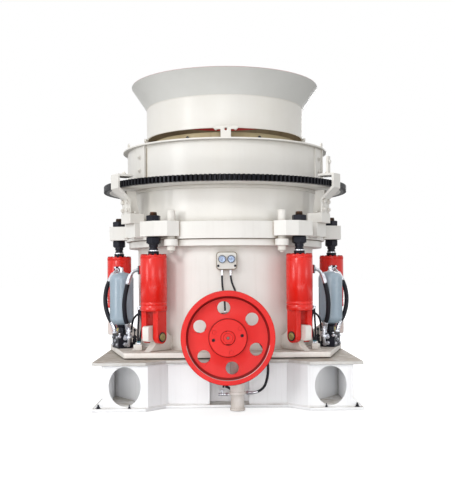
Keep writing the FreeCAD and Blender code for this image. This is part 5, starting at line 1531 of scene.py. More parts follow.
@dataclass
class ReleaseCylinders:
    """The six red cylinders with forks, pins, glands, rods and nuts.

    Each ram has a name, an azimuth and the side of its port.
    """

    circle: float = 977
    radius: float = 109
    low: float = 765
    high: float = 1226
    bore: float = 78
    pin_z: float = 555
    gap: float = 74
    prong: float = 54
    fork: float = 110
    port_z: float = 1106
    plug_z: float = 797
    plug_tilt: float = 15
    screws: int = 14
    nuts: Sequence[tuple[float, float]] = ((1324, 56), (1504, 50))
    washer: float = 5
    rams: Sequence[tuple[str, float, int]] = (
        ("front_left", -38, -1), ("front_right", 38, 1), ("side_left", -90, 1),
        ("side_right", 90, -1), ("rear_left", -142, -1), ("rear_right", 142, 1),
    )

    def build(self) -> None:
        """Builds every cylinder and what belongs to it."""
        for name, azimuth, port in self.rams:
            self.build_barrel(name, azimuth, port)
            self.build_port(name, azimuth, port)
        self.build_pins()
        self.build_glands()
        self.build_rods()

    def stand(self, azimuth: float) -> Matrix:
        """The frame of the cylinder at an azimuth, with its axis as +Z."""
        return around(azimuth) @ at(0, -self.circle, 0)

    def port(self, azimuth: float, port: int) -> Matrix:
        """The frame of a cylinder's port, from the axis outwards."""
        return self.stand(azimuth) @ facing((0, 0, self.port_z), (port, 0, 0))

    def build_barrel(self, name: str, azimuth: float, port: int) -> None:
        """Builds one barrel with its fork, port block, screws and plug.

        Args:
            name: The cylinder's name.
            azimuth: Where it stands.
            port: The side of its port, -1 or 1.
        """
        stand = self.stand(azimuth)
        r, high, bore = self.radius, self.high, self.bore - 12
        barrel = Shape().lathe([
            (0, self.low), (r - 6, self.low), (r - 1, self.low + 5), (r, self.low + 12), (r, 808),
            (r - 2.5, 811), (r - 2.5, 815), (r, 818), (r, 834), (r - 2.5, 837), (r - 2.5, 841),
            (r, 844), (r, high - 34), (r - 1.6, high - 31), (r - 1.6, high - 28), (r, high - 25),
            (r, high - 3), (r - 3, high), (bore, high), (bore, high - 30), (0, high - 30),
        ], stand, 96)
        half = self.fork / 2
        arc = [
            (half * math.cos(math.radians(a)), self.pin_z + half * math.sin(math.radians(a)))
            for a in range(180, 361, 12)
        ]
        outline = [(-half, self.low + 3), *arc, (half, self.low + 3)]
        standing = Matrix(((0, 0, 1, 0), (1, 0, 0, 0), (0, 1, 0, 0), (0, 0, 0, 1)))
        for side in SIDES:
            near, far = sorted((side * self.gap / 2, side * (self.gap / 2 + self.prong)))
            barrel.prism(outline, near, far, stand @ standing)
        for screw in range(self.screws):
            angle = math.tau * (screw + 0.5) / self.screws
            barrel.lathe(
                [(0, 0), (12.5, 0), (12.5, 8), (11, 10), (6.5, 10), (5.5, 4), (0, 4)],
                stand @ at((r - 15) * math.cos(angle), (r - 15) * math.sin(angle), high - 1), 20,
            )
        tilt = math.radians(self.plug_tilt)
        out = Vector((-port * math.cos(tilt), math.sin(tilt), 0))
        plug = stand @ facing(tuple(out * r + Vector((0, 0, self.plug_z))), tuple(out))
        barrel.lathe([(0, -8), (13, -8), (13, 3), (11, 5), (6, 5), (5, 1), (0, 1)], plug, 20)
        side_on = self.port(azimuth, port)
        barrel.lathe(disc(27, 90, r + 34), side_on, 40)
        block = [(-32, -37), (32, -37), (32, 37), (-32, 37)]
        barrel.prism(block, r - 14, r + 22, upright(side_on))
        barrel.make(
            f"cylinder_{name}", RED, Body.ROOT, [f"release_cylinder_{name}"],
            bevel=3, sharp=40,
        )

    def build_port(self, name: str, azimuth: float, port: int) -> None:
        """Builds the split flange and the bright nipple of one port.

        Args:
            name: The cylinder's name.
            azimuth: Where it stands.
            port: The side of its port, -1 or 1.
        """
        r, side_on = self.radius, self.port(azimuth, port)
        square = upright(side_on)
        flange = Shape()
        for sign in SIDES:
            low, high = sorted((sign * 1.0, sign * 30))
            flange.prism([(low, -36), (high, -36), (high, 36), (low, 36)], r + 22, r + 38, square)
        flange.make(f"port_flange_{name}", BLACK_NUT, Body.ROOT, bevel=1.5)
        nipple = Shape().lathe([
            (0, r + 30), (19, r + 30), (19, r + 46), (17, r + 49), (17, r + 58), (0, r + 58),
        ], side_on, 36)
        nipple.hexagon(36, 14, side_on @ at(0, 0, r + 46))
        for sx in SIDES:
            for sz in SIDES:
                nipple.lathe(disc(9, 0, 2), square @ at(sx * 20, sz * 27, r + 38), 20)
                nipple.hexagon(15, 9, square @ at(sx * 20, sz * 27, r + 40))
        nipple.make(f"port_nipple_{name}", CHROME, Body.ROOT, bevel=0.8)

    def build_pins(self) -> None:
        """Builds the clevis pins with their heads and seals."""
        pins, seals = Shape(), Shape()
        reach = self.gap / 2 + self.prong
        head_profile = [
            (0, 0), (31, 0), (31, 6), (29, 8), (22, 8), (22, 10), (19, 12), (8, 12), (6, 9), (0, 9),
        ]
        seal_profile = [(30, 0.2), (40, 0.2), (41, 2), (39, 6), (33, 6), (31.5, 3)]
        for _, azimuth, _ in self.rams:
            stand = self.stand(azimuth)
            across = stand @ facing((0, 0, self.pin_z), (1, 0, 0))
            pins.lathe(disc(25, -reach, reach), across, 40)
            for side in SIDES:
                head = stand @ facing((side * reach, 0, self.pin_z), (side, 0, 0))
                pins.lathe(head_profile, head, 48)
                pins.hexagon(9, 5, head @ at(0, 0, 7))
                seals.lathe(seal_profile, head, 48)
        pins.make("cylinder_pins", ZINC, Body.ROOT, ["clevis_pins"], bevel=0.6)
        seals.make("pin_seals", BLACK_NUT, Body.ROOT)

    def build_glands(self) -> None:
        """Builds the black glands and the bright wiper rings."""
        glands, rings = Shape(), Shape()
        top = self.high
        for _, azimuth, _ in self.rams:
            stand = self.stand(azimuth)
            glands.lathe([
                (31.4, top - 24), (62, top - 24), (62, top - 8), (52, top - 2), (45, top),
                (46, top + 3), (46, top + 15), (43, top + 17), (43, top + 20), (46, top + 22),
                (46, top + 29), (43, top + 33), (31.4, top + 33),
            ], stand, 64)
            rings.lathe([
                (31.3, top + 33), (40, top + 33), (40, top + 41), (38, top + 43), (31.3, top + 43),
            ], stand, 64)
            glands.lathe([
                (31.3, top + 43), (37, top + 43), (37, top + 50), (35, top + 56), (31.3, top + 58),
            ], stand, 64)
        glands.make("gland_caps", BLACK_NUT, Body.ROOT, ["cylinder_glands"], bevel=1.0)
        rings.make("wiper_rings", CHROME, Body.ROOT)

    def build_rods(self) -> None:
        """Builds the rods with threaded ends, and the nuts above and below each ear."""
        rods, nuts, seats = Shape(), Shape(), Shape()
        (below, below_tall), (above, above_tall) = self.nuts
        for _, azimuth, _ in self.rams:
            stand = self.stand(azimuth)
            rods.finish = 0
            rods.lathe(
                [(0, 900), (31, 900), (31, 1310), (30, 1314), (30, 1540), (0, 1540)], stand, 48
            )
            rods.finish = 1
            rods.thread(stand @ at(0, 0, 1538), 31, 44, 6)
            for nut, tall, washer in (
                (below, below_tall, below + below_tall - self.washer),
                (above + self.washer, above_tall, above),
            ):
                nuts.hexagon(106, tall - self.washer, stand @ at(0, 0, nut), 0.08)
                top = washer + self.washer
                nuts.lathe([(28, washer), (56, washer), (56, top), (28, top)], stand, 48)
            seats.lathe([
                (31.2, 1292), (36, 1292), (37, 1296), (37, 1316), (48, 1317), (48, 1324),
                (31.2, 1324),
            ], stand, 48)
        rods.make(
            "release_rods_dressed", [BLACK_NUT, THREAD], Body.RING, ["release_rods"]
        )
        nuts.make("rod_nuts_dressed", BLACK_NUT, Body.RING, ["rod_nuts"], bevel=1.5)
        seats.make("nut_seats", BLACK_NUT, Body.RING, bevel=0.8, sharp=20)


@dataclass
class Accumulators:
    """The three gas bottles on their valve blocks, with valves, plugs and pipes.

    Each bottle has a name, an azimuth, and how far out it and its block stand.
    """

    radius: float = 102.5
    low: float = 630
    high: float = 1089
    neck_z: float = 556
    foot: float = 436
    half: tuple[float, float] = (84, 60)
    pipe: tuple[float, float] = (118, 24)
    pipe_z: tuple[float, float, float] = (600, 470, 462)
    bottles: Sequence[tuple[str, float, float, float]] = (
        ("left", -65, 1000, 1000), ("right", 65, 1000, 1000), ("rear", 180, 903, 868)
    )

    def build(self) -> None:
        """Builds the bottles, their blocks and the needle valves."""
        for name, azimuth, bottle, block in self.bottles:
            out = 1 if azimuth < 0 else -1
            self.build_bottle(name, around(azimuth) @ at(0, -bottle, 0))
            stand = around(azimuth) @ at(0, -block, 0)
            self.build_block(name, stand, out)
            self.build_valve(name, stand @ at(out * 34, 104, self.foot))

    def build_bottle(self, name: str, stand: Matrix) -> None:
        """Builds one bottle with its neck and its filling valve.

        Args:
            name: Which bottle it is.
            stand: Its frame, with its axis as +Z.
        """
        r, low, high, neck_z = self.radius, self.low, self.high, self.neck_z
        profile = [(0, low + 4), (32, low + 4)]
        for k in range(1, 11):
            angle = math.radians(-90 + 9 * k)
            profile.append((32 + (r - 32) * math.cos(angle), low + 62 + 58 * math.sin(angle)))
        profile += [(r, low + 66), (r, high - 66)]
        for k in range(10):
            angle = math.radians(9 * k)
            profile.append((20 + (r - 20) * math.cos(angle), high - 62 + 60 * math.sin(angle)))
        profile += [(20, high - 1), (0, high - 1)]
        Shape().lathe(profile, stand, 96).make(
            f"bottle_{name}", BOTTLE, Body.ROOT,
            ["accumulators"] if name == "left" else [], sharp=38,
        )
        neck = Shape().lathe([
            (0, neck_z), (36, neck_z), (36, neck_z + 14), (30, neck_z + 18), (30, low - 18),
            (44, low - 12), (48, low - 2), (48, low + 12), (0, low + 12),
        ], stand, 48)
        neck.hexagon(62, 18, stand @ at(0, 0, neck_z + 22))
        neck.make(f"bottle_neck_{name}", BLACK_NUT, Body.ROOT, bevel=1.2)
        valve = Shape().lathe([
            (0, high - 4), (24, high - 4), (24, high + 5), (15, high + 8), (15, high + 36),
            (12, high + 39), (12, high + 42), (0, high + 42),
        ], stand, 36)
        valve.hexagon(28, 12, stand @ at(0, 0, high + 16))
        valve.make(f"bottle_valve_{name}", CHROME, Body.ROOT, bevel=0.8)

    def build_block(self, name: str, stand: Matrix, out: int) -> None:
        """Builds one valve block with its plugs, screws and bent pipe.

        Args:
            name: Which bottle it carries.
            stand: Its frame, with its axis as +Z.
            out: The side of its pipe, -1 or 1.
        """
        half_x, half_y = self.half
        block = Shape().block((-half_x, -half_y, self.foot), (half_x, half_y, self.neck_z), stand)
        block.make(
            f"valve_block_{name}", BLACK_NUT, Body.ROOT,
            ["accumulator_manifolds"] if name == "left" else [], bevel=3,
        )
        bright = Shape()
        for x, z in ((-58, 528), (-58, 466), (0, 498), (58, 466), (58, 528)):
            face = stand @ facing((x, -half_y, z), (0, -1, 0))
            bright.lathe(disc(15, 0, 4), face, 28)
            bright.hexagon(22, 9, face @ at(0, 0, 4))
        for end in SIDES:
            for z in (470, 522):
                face = stand @ facing((end * half_x, 0, z), (end, 0, 0))
                bright.lathe(disc(17, 0, 5), face, 28)
                bright.hexagon(25, 11, face @ at(0, 0, 5))
            for y in (-44, 44):
                screw = stand @ at(end * 70, y, self.neck_z)
                bright.lathe([(0, 5), (5, 5), (5.5, 9), (9, 9), (10, 0), (0, 0)], screw, 20)
        x, y = out * self.pipe[0], self.pipe[1]
        top, bend, low = self.pipe_z
        route = [stand @ Vector(c) for c in ((x, y, top), (x, y, bend), (out * half_x, y, low))]
        bright.tube(flowing([tuple(place) for place in route]), 13, 20)
        bright.hexagon(34, 18, stand @ at(x, y, top - 18))
        bright.hexagon(34, 16, stand @ at(x, y, top - 74))
        bright.lathe([(0, 0), (11, 0), (11, 12), (8, 15), (0, 15)], stand @ at(x, y, top), 24)
        bright.hexagon(34, 14, stand @ facing((out * half_x, y, low + 1), (out, 0, 0.1)))
        for y in (-52, 0, 50):
            face = stand @ facing((out * half_x, y, 538), (out, 0, 0))
            bright.hexagon(24, 14, face)
            bright.lathe(disc(8, 14, 22), face, 24)
        bright.make(f"block_fittings_{name}", CHROME, Body.ROOT, bevel=0.8)

    def build_valve(self, name: str, post: Matrix) -> None:
        """Builds one needle valve with its handle, beside a block.

        Args:
            name: Which bottle it serves.
            post: The middle of its foot.
        """
        valve = Shape().block((-26, -24, 0), (26, 24, 46), post)
        valve.lathe([
            (0, 40), (17, 40), (17, 74), (11, 79), (11, 104), (6, 108), (6, 146), (0, 146),
        ], post, 32)
        valve.hexagon(34, 16, post @ at(0, 0, 82))
        valve.tube([post @ Vector((-20, 0, 150)), post @ Vector((20, 0, 150))], 6, 14)
        valve.lathe([(0, 140), (10, 140), (10, 160), (7, 164), (0, 164)], post, 24)
        valve.make(f"needle_valve_{name}", BLACK_NUT, Body.ROOT, bevel=1.0)


@dataclass
class Hoses:
    """Pressure hoses with bent end tubes and crimped sleeves, and the thin hoses."""

    outer: Sequence[Point] = (
        (-973, -373, 556.3), (-973, -373, 612), (-1032, -356, 692), (-1066, -334, 820),
        (-1058, -304, 950), (-1008, -262, 1064), (-977, -222, 1106), (-977, -171.3, 1106),
    )
    inner: Sequence[Point] = (
        (-736.5, -664.4, 1106), (-772, -636.6, 1106), (-810, -618, 1062), (-840, -606, 975),
        (-868, -584, 840), (-866, -556, 705), (-845, -490, 616), (-845, -490, 556.3),
    )
    rear: Sequence[Point] = (
        (-466.6, 875.4, 1106), (-431, 903.1, 1106), (-395, 918, 1062), (-348, 930, 980),
        (-292, 928, 885), (-218, 908, 788), (-134, 864, 702), (-66, 838, 630), (-66, 838, 556.3),
    )
    gauge_left: Sequence[Point] = (
        (-39, -828, 1102.7), (-39, -829, 1045), (-37, -832, 980), (-28, -838, 915),
        (-18, -850, 850), (-16, -866, 785), (-16, -870, 731.9),
    )
    gauge_right: Sequence[Point] = (
        (31, -828, 1102.7), (31, -829, 1045), (45, -833, 985), (72, -840, 925), (86, -852, 862),
        (74, -872, 800), (60, -880, 755), (60, -880, 722.9),
    )
    drain: Sequence[Point] = (
        (187.3, -1128, 140.6), (222, -1128, 141), (283, -1128, 176), (311, -1126, 255),
        (317, -1122, 355), (298, -1114, 455), (248, -1104, 540), (198, -1100, 587),
        (145.3, -1100, 587),
    )
    bleed: Sequence[Sequence[Point]] = (
        ((732, -700, 792), (734, -698, 700), (742, -692, 600), (741, -690, 512)),
        ((722, -706, 768), (712, -706, 716), (700, -700, 640), (722, -690, 560), (726, -690, 512)),
        ((822, -452, 572), (812, -484, 664), (770, -596, 722), (716, -694, 750), (688, -734, 770)),
    )
    bleed_radius: float = 8.5
    hose_radius: float = 19
    low_sleeve: float = 104
    top_sleeve: float = 84
    top_tube: float = 92

    def build(self) -> None:
        """Builds every hose and the bleed pipes."""
        first = True
        for name, route, port_first in (
            ("outer", self.outer, False), ("inner", self.inner, True), ("rear", self.rear, True)
        ):
            for side, sign in (("left", 1), ("right", -1)):
                corners = [(x * sign, y, z) for x, y, z in route]
                if port_first:
                    corners.reverse()
                self.pressure_hose(f"{name}_{side}", corners, ["pressure_hoses"] if first else [])
                first = False
        self.thin_hose("gauge_left", self.gauge_left, 8, ["service_hoses"])
        self.thin_hose("gauge_right", self.gauge_right, 8, [])
        self.thin_hose("drain", self.drain, 10, [])
        for side, sign in (("left", -1), ("right", 1)):
            self.bleed_pipes(side, sign)

    def bleed_pipes(self, side: str, sign: int) -> None:
        """Builds the thin bleed pipes beside a front cylinder, and their block on the foot.

        Args:
            side: Which side of the machine.
            sign: That side's sign.
        """
        pipes = Shape()
        for route in self.bleed:
            pipes.tube(flowing([(sign * x, y, z) for x, y, z in route]), self.bleed_radius, 16)
        pipes.make(f"bleed_pipes_{side}", HOSE, Body.ROOT)
        y, top, union = -690, 486, (sign * 732, -700, 796)
        foot = Shape().block((-27, -22, 436), (27, 22, top), at(sign * 734, y, 0))
        foot.make(f"bleed_block_{side}", CREAM_CAST, Body.ROOT, bevel=3)
        caps, nuts = Shape(), Shape()
        for x in (741, 726):
            nuts.hexagon(15, 14, at(sign * x, y, top))
            caps.lathe(disc(7, top + 14, top + 28), at(sign * x, y, 0), 20)
        nuts.hexagon(22, 26, at(union[0], union[1], 776))
        nuts.lathe(disc(9, 0, 34), facing(union, (-sign * 0.9, -0.5, 0.2)), 20)
        caps.make(f"bleed_caps_{side}", TEAL, Body.ROOT, bevel=0.5)
        nuts.make(f"bleed_nuts_{side}", CHROME, Body.ROOT, bevel=0.5)

    def pressure_hose(self, name: str, corners: Sequence[Point], replaces: Sequence[str]) -> None:
        """Builds one hose from its block up to its port.

        Args:
            name: The hose's name.
            corners: Its route, from the block.
            replaces: The CAD node that it stands for.
        """
        path = flowing(corners)
        whole = length_of(path)
        low, high = self.low_sleeve, whole - self.top_tube - self.top_sleeve
        cover = Shape().tube(along(path, low - 6, high + 6), self.hose_radius, 24)
        cover.make(f"hose_{name}", HOSE, Body.ROOT, replaces)

        def crimp(share: float) -> float:
            """The radius of a crimped sleeve along its length."""
            if share < 0.08 or share > 0.92:
                return 19.5
            return 21.5 if round(share * 20) % 5 else 20.8

        ends = Shape()
        ends.tube(along(path, 26, low + 2, 3), crimp, 24)
        ends.tube(along(path, high - 2, high + self.top_sleeve, 3), crimp, 24)
        ends.tube(along(path, high + self.top_sleeve - 4, whole - 2, 5), 13.5, 20)
        ends.tube(along(path, 0, 30, 5), 15, 20)
        foot = tuple(path[0] + Vector((0, 0, 2)))
        ends.hexagon(40, 18, facing(foot, tuple(path[3] - path[0])))
        ends.hexagon(38, 16, facing(tuple(path[-1]), tuple(path[-4] - path[-1])))
        ends.make(f"hose_ends_{name}", CHROME, Body.ROOT, bevel=0.6)

    def thin_hose(
        self, name: str, corners: Sequence[Point], radius: float, replaces: Sequence[str]
    ) -> None:
        """Builds one thin hose with bright ends.

        Args:
            name: The hose's name.
            corners: Its route.
            radius: Its radius.
            replaces: The CAD node that it stands for.
        """
        path = flowing(corners)
        whole = length_of(path)
        cover = Shape().tube(along(path, 40, whole - 30, 6), radius, 18)
        cover.make(f"thin_hose_{name}", HOSE, Body.ROOT, replaces)
        ends = Shape()
        for low, high in ((0, 46), (whole - 36, whole)):
            ends.tube(along(path, low, high, 4), radius * 1.12, 18)
        ends.hexagon(radius * 2.6, 11, facing(tuple(path[0]), tuple(path[3] - path[0])))
        ends.make(f"thin_hose_ends_{name}", CHROME, Body.ROOT, bevel=0.5)


@dataclass
class AdjustmentRing:
    """The ring with its ears, the tower, and the brackets that reach round the gear."""

    tower_r: float = 836
    ring_top: float = 1500
    brackets: Sequence[float] = (-56, 56, 124, -124)
    bracket_front: float = 1027
    stop_arm: tuple[float, float, float] = (56, 1060, 2017)

    def build(self) -> None:
        """Dresses the castings and adds welds and bolts."""
        edged("adjustment_ring", CREAM_CAST, Body.RING, 1.9)
        for node, bevel in (("adjustment_tower", 3), ("gear_brackets", 2.5), ("stop_arm", 2)):
            edged(node, CREAM, Body.RING, bevel)
        Shape().weld_ring(self.tower_r + 1, self.ring_top + 2, 8).make(
            "tower_weld", CREAM_CAST, Body.RING
        )
        bolts = Shape()
        for azimuth in self.brackets:
            turn = around(azimuth)
            for x, wide in ((-42, -60.9), (42, 60.9)):
                for z in (1612, 1680):
                    bolts.bolt(on_wall(azimuth, self.bracket_front, z, x), 30, 15, 5)
                bolts.bolt(turn @ at(wide, -968, 1584), 28, 14, 5)
                bolts.bolt(turn @ facing((wide, -985, 1380), (0, 0, -1)), 28, 12)
            bolts.bolt(turn @ at(0, -1040, 1914), 30, 16, 10)
        bolts.bolt(on_wall(*self.stop_arm), 26, 12)
        bolts.make("bracket_bolts", CREAM, Body.RING, bevel=1.0)


@dataclass
class Bowl:
    """Gear ring, bowl, liner, cap, feed ring and hopper."""

    cap_r: float = 888
    cap_joints: Sequence[float] = (-50, 70, 190)
    feed_r: float = 660
    hopper_r: float = 713
    hopper_low: float = 2287
    hopper_bend: float = 2563
    hopper_top: float = 2765
    mouth_r: float = 848
    lining_low: float = 2515
    wall: float = 12
    gear_low: float = 1804
    gear_root: float = 1078
    gear_bore: float = 842
    seam_at: float = 2.2
    feed_bolts: int = 13

    def build(self) -> None:
        """Builds the hopper and feed ring, and dresses the rest."""
        self.dress_gear()
        edged("bowl", CREAM_CAST, Body.BOWL, 3)
        edged("bowl_liner", WEAR_STEEL, Body.BOWL, 4)
        edged("cap_ring", CREAM, Body.BOWL, 2)
        edged("lifting_eyes", CREAM, Body.BOWL, 3)
        edged("hopper_lugs", CREAM, Body.BOWL, 2.5)
        self.build_hopper()
        self.build_feed_ring()
        self.bolt_cap()

    def dress_gear(self) -> None:
        """Gives the gear ring oiled black teeth and a painted underside."""
        edged("gear_ring", GEAR_BLACK, Body.BOWL, 1.5, 35)
        under = Shape().lathe([
            (self.gear_bore, self.gear_low - 1), (self.gear_root - 26, self.gear_low - 1),
            (self.gear_root - 22, self.gear_low + 2), (self.gear_bore, self.gear_low + 2),
        ], None, 160)
        under.make("gear_underside", CREAM_CAST, Body.BOWL, sharp=25)

    def build_hopper(self) -> None:
        """Turns the hopper, cream outside and lined in red, with its hooks and seams; the flare's
        darker cream and the dark primer low inside are painted shade.
        """
        r, mouth, low, bend, top = (
            self.hopper_r, self.mouth_r, self.hopper_low, self.hopper_bend, self.hopper_top
        )
        inner, lining = r - self.wall, self.lining_low
        wall = [(inner + 0.2, low), (r - 2, low), (r, low + 2), (r, bend - 3), (r + 2, bend + 3)]
        flare = [(r + 2, bend + 3), (mouth - 2, top - 4), (mouth, top - 2)]
        lined = [
            (mouth, top - 2), (mouth - 1, top), (mouth - self.wall * 1.2, top),
            (inner + 2, bend + 4), (inner, bend - 4), (inner, lining),
        ]
        bare = [(inner, lining), (inner + 0.2, low)]
        hopper = Shape()
        # The flare's darker cream and the dark primer of the lower inside are painted shade.
        for finish, profile in ((0, wall), (3, flare), (1, lined), (2, bare)):
            hopper.finish = finish
            hopper.lathe(profile, None, 160, closed=False)
        bmesh.ops.remove_doubles(hopper.mesh, verts=hopper.mesh.verts, dist=0.05)
        hopper.make(
            "hopper_dressed", [CREAM, RED_LINING, SHADED_PRIMER, FLARE_CREAM_SHADED], Body.BOWL,
            ["hopper"], sharp=25,
        )
        hooks = Shape()
        for azimuth in (0, 90, 180, 270):
            for x in (-82, 82):
                hooks.lathe(
                    [(0, -8), (13, -8), (13, 5), (11, 7), (0, 7)],
                    on_wall(azimuth, r, low - 8, x), 24,
                )
        hooks.make("hopper_lug_hooks", CREAM, Body.BOWL, bevel=1.0)
        seam = Shape().weld_ring(r + 0.5, bend, 3.0)
        x, y = r * math.sin(self.seam_at), -r * math.cos(self.seam_at)
        seam.weld([(x, y, low + 3), (x, y, bend - 3)], 3.0)
        seam.make("hopper_seam", CREAM, Body.BOWL)

    def build_feed_ring(self) -> None:
        """Turns the ring under the hopper and adds its row of bolts."""
        r = self.feed_r
        ring = Shape().lathe([
            (r, 1900), (r, 2214), (r - 8, 2218), (r - 8, 2256), (r - 11, 2262), (r - 18, 2262),
            (r - 18, 1900),
        ], None, 144)
        ring.make("feed_ring_dressed", CREAM_INSIDE, Body.BOWL, ["feed_ring"], sharp=25)
        bolts = Shape()
        for k in range(self.feed_bolts):
            bolts.bolt(on_wall(360 * k / self.feed_bolts - 1.7, r, 2226), 15, 8)
        bolts.make("feed_ring_bolts", BLACK_NUT, Body.BOWL)
        band = Shape().lathe(
            [(r - 2, 2204), (r + 4, 2205), (r + 4, 2211), (r - 2, 2212)], None, 144
        )
        band.make("feed_ring_band", CREAM_INSIDE, Body.BOWL)

    def bolt_cap(self) -> None:
        """Adds the bolts and the sealant of the cap's lap joints."""
        bolts, gaps = Shape(), Shape()
        r = self.cap_r
        for azimuth in self.cap_joints:
            for z in (1956, 2067):
                bolts.bolt(on_wall(azimuth - 4.8, r + 12, z), 24, 11, 4)
            turn = around(azimuth)
            gaps.block((9.5, -r - 4, 1880), (14, -r + 3, 2100), turn)
            gaps.block((20, -r - 3, 1880), (22.5, -r + 3, 2140), turn)
        bolts.make("cap_bolts", CREAM, Body.BOWL, bevel=0.8)
        gaps.make("cap_joint_sealant", CREAM_INSIDE, Body.BOWL, bevel=0.8)


@dataclass
class Crushing:
    """Head, shaft, mantle and feed plate, seen from above and from below."""

    bolt_circle: float = 150
    plate_top: float = 2026

    def build(self) -> None:
        """Dresses the castings and bolts the feed plate."""
        for node, finish, bevel in (
            ("mantle", WEAR_STEEL, 4), ("head", STEEL, 3), ("main_shaft", STEEL, 3),
            ("feed_plate", WEAR_STEEL, 6),
        ):
            edged(node, finish, Body.ROOT, bevel)
        bolts = Shape()
        for k in range(4):
            angle = math.tau * (k + 0.5) / 4
            x, y = self.bolt_circle * math.cos(angle), self.bolt_circle * math.sin(angle)
            bolts.bolt(at(x, y, self.plate_top), 40, 20)
        bolts.make("feed_plate_bolts", BLACK_NUT, Body.ROOT, bevel=1.5)


@dataclass(frozen=True)
class Lamp:
    """One soft box.

    Attributes:
        name: Its name.
        place: Where it hangs, in metres.
        target: The place that it faces, in metres.
        size: Its width and height in metres.
        power: Its power in watts.
    """

    name: str
    place: Point
    target: Point
    size: tuple[float, float]
    power: float

    def hang(self) -> None:
        """Adds the lamp, which lights the part but doesn't show itself."""
        data = bpy.data.lights.new(self.name, "AREA")
        data.shape, data.energy = "RECTANGLE", self.power
        data.size, data.size_y = self.size
        light = bpy.data.objects.new(self.name, data)
        bpy.context.scene.collection.objects.link(light)
        light.location = self.place
        aim = Vector(self.target) - Vector(self.place)
        light.rotation_euler = aim.to_track_quat("-Z", "Y").to_euler()
        light.visible_camera = False


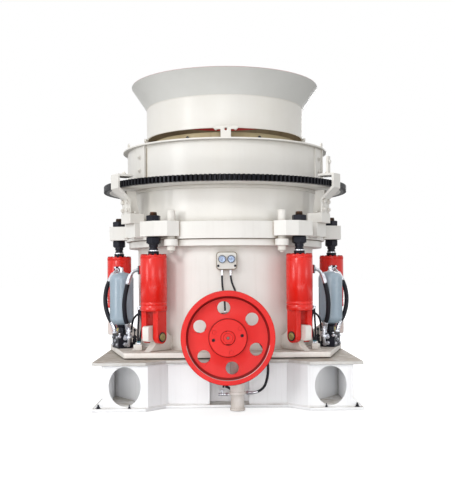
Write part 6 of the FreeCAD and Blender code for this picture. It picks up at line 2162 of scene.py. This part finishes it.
@dataclass
class Studio:
    """Floor, soft light, background and the camera."""

    focal_pixels: float = 800
    frame: tuple[int, int] = (455, 479)
    eye: Point = (-82, -7372, 1060)
    vanishing: tuple[float, float] = (216.7, 275.0)
    roll: float = 0.35
    around_level: float = 0.64
    mirror_level: float = 1.0
    floor_half: float = 60000
    lamps: Sequence[Lamp] = (
        Lamp("key", (-6.0, -10.6, 7.6), (0, 0, 1.0), (2.0, 2.4), 385),
        Lamp("front", (-1.0, -13.0, 2.5), (0, 0, 1.0), (4.6, 4.6), 250),
        Lamp("left", (-10.0, -7.5, 2.5), (0, 0, 1.2), (2.6, 4.6), 300),
        Lamp("right", (11.0, -7.5, 2.0), (0, 0, 0.8), (4.0, 3.0), 130),
        Lamp("top", (0.0, -0.5, 9.5), (0, 0, 1.5), (5.0, 5.0), 130),
        Lamp("rear", (2.5, 12.0, 5.0), (0, 0, 1.2), (5.0, 4.0), 480),
        Lamp("low_front", (0.2, -3.3, 0.13), (0.3, -1.0, 0.2), (5.0, 0.2), 18),
        Lamp("low_left", (-3.3, -0.2, 0.16), (-1.0, 0.0, 0.2), (3.6, 0.25), 5),
        Lamp("low_right", (3.3, -0.2, 0.16), (1.0, 0.0, 0.2), (3.6, 0.25), 5),
        Lamp("low_rear", (0.0, 3.3, 0.16), (0.0, 1.0, 0.2), (4.0, 0.25), 5),
        Lamp("bay_left", (-0.80, -1.07, 0.335), (-0.82, -0.7, 0.05), (0.24, 0.04), 0.3),
        Lamp("bay_right", (0.80, -1.07, 0.335), (0.82, -0.7, 0.05), (0.24, 0.04), 0.3),
    )

    def build(self) -> None:
        """Sets the stage."""
        self.set_camera()
        self.set_world()
        self.lay_floor()
        for lamp in self.lamps:
            lamp.hang()

    def set_camera(self) -> None:
        """Places the camera where the photo was taken, with its horizon by a small shift."""
        data = bpy.data.cameras.new("camera")
        camera = bpy.data.objects.new("camera", data)
        bpy.context.scene.collection.objects.link(camera)
        long_side = max(self.frame)
        data.sensor_width = 36
        data.lens = data.sensor_width * self.focal_pixels / long_side
        data.shift_y = (self.vanishing[1] - self.frame[1] / 2) / long_side
        data.clip_start, data.clip_end = 0.1, 200
        yaw = math.atan((self.frame[0] / 2 - self.vanishing[0]) / self.focal_pixels)
        camera.matrix_world = (
            Matrix.Translation(Vector(self.eye) * METRES)
            @ Matrix.Rotation(-yaw, 4, "Z")
            @ Matrix.Rotation(math.radians(90), 4, "X")
            @ Matrix.Rotation(math.radians(-self.roll), 4, "Z")
        )
        bpy.context.scene.camera = camera

    def set_world(self) -> None:
        """Lights from all round, and shows white to the camera and in reflections."""
        world = bpy.data.worlds.new("studio")
        nodes = emptied(world)
        path = nodes.add("ShaderNodeLightPath")
        seen = nodes.sum(
            "MAXIMUM", path.outputs["Is Camera Ray"], path.outputs["Is Transmission Ray"]
        )
        strength = nodes.span(seen, 0.0, 1.0, self.around_level, 1.0)
        mirrored = nodes.sum("MULTIPLY", path.outputs["Is Glossy Ray"], self.mirror_level)
        shade = nodes.add("ShaderNodeBackground", {
            "Color": (1, 1, 1, 1), "Strength": nodes.sum("MAXIMUM", strength, mirrored),
        })
        nodes.add("ShaderNodeOutputWorld", {"Surface": shade.outputs[0]})
        bpy.context.scene.world = world

    def lay_floor(self) -> None:
        """Lays a pale floor that keeps the shadow and goes over to white away from it."""
        half = self.floor_half
        shape = Shape()
        corners = ((-half, -half), (half, -half), (half, half), (-half, half))
        shape.face(shape.ring([(x, y, -1) for x, y in corners]))
        floor = shape.plain("floor")
        floor.data.transform(Matrix.Scale(METRES, 4))
        material = bpy.data.materials.new("pale_floor")
        nodes = emptied(material)
        seen = nodes.add("ShaderNodeLightPath").outputs["Is Camera Ray"]
        place = nodes.add("ShaderNodeTexCoord").outputs["Object"]
        reach = nodes.add("ShaderNodeVectorMath", {0: place}, operation="LENGTH").outputs["Value"]
        glow = nodes.span(reach, 1.5, 4.5, 0.74, 1.0)
        colour = nodes.mix(nodes.noise(place, 0.8), (0.34, 0.34, 0.34, 1), (0.38, 0.38, 0.38, 1))
        lit = nodes.add("ShaderNodeEmission", {"Strength": nodes.sum("MULTIPLY", seen, glow)})
        matt = nodes.add("ShaderNodeBsdfDiffuse", {"Color": colour})
        both = nodes.add("ShaderNodeAddShader", {0: lit.outputs[0], 1: matt.outputs[0]})
        nodes.add("ShaderNodeOutputMaterial", {"Surface": both.outputs[0]})
        floor.data.materials.append(material)


def main() -> None:
    """Builds every sub-assembly and the studio, in order."""
    logging.basicConfig(level=logging.INFO, format="%(message)s")
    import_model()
    bpy.context.scene.view_settings.view_transform = "Standard"
    for part in (
        BaseFrame(), MainFrame(), Crushing(), Drive(), GaugePanel(), ReleaseCylinders(),
        Accumulators(), Hoses(), AdjustmentRing(), Bowl(), Studio(),
    ):
        LOG.info("building %s", type(part).__name__)
        part.build()


if __name__ == "__main__":
    main()
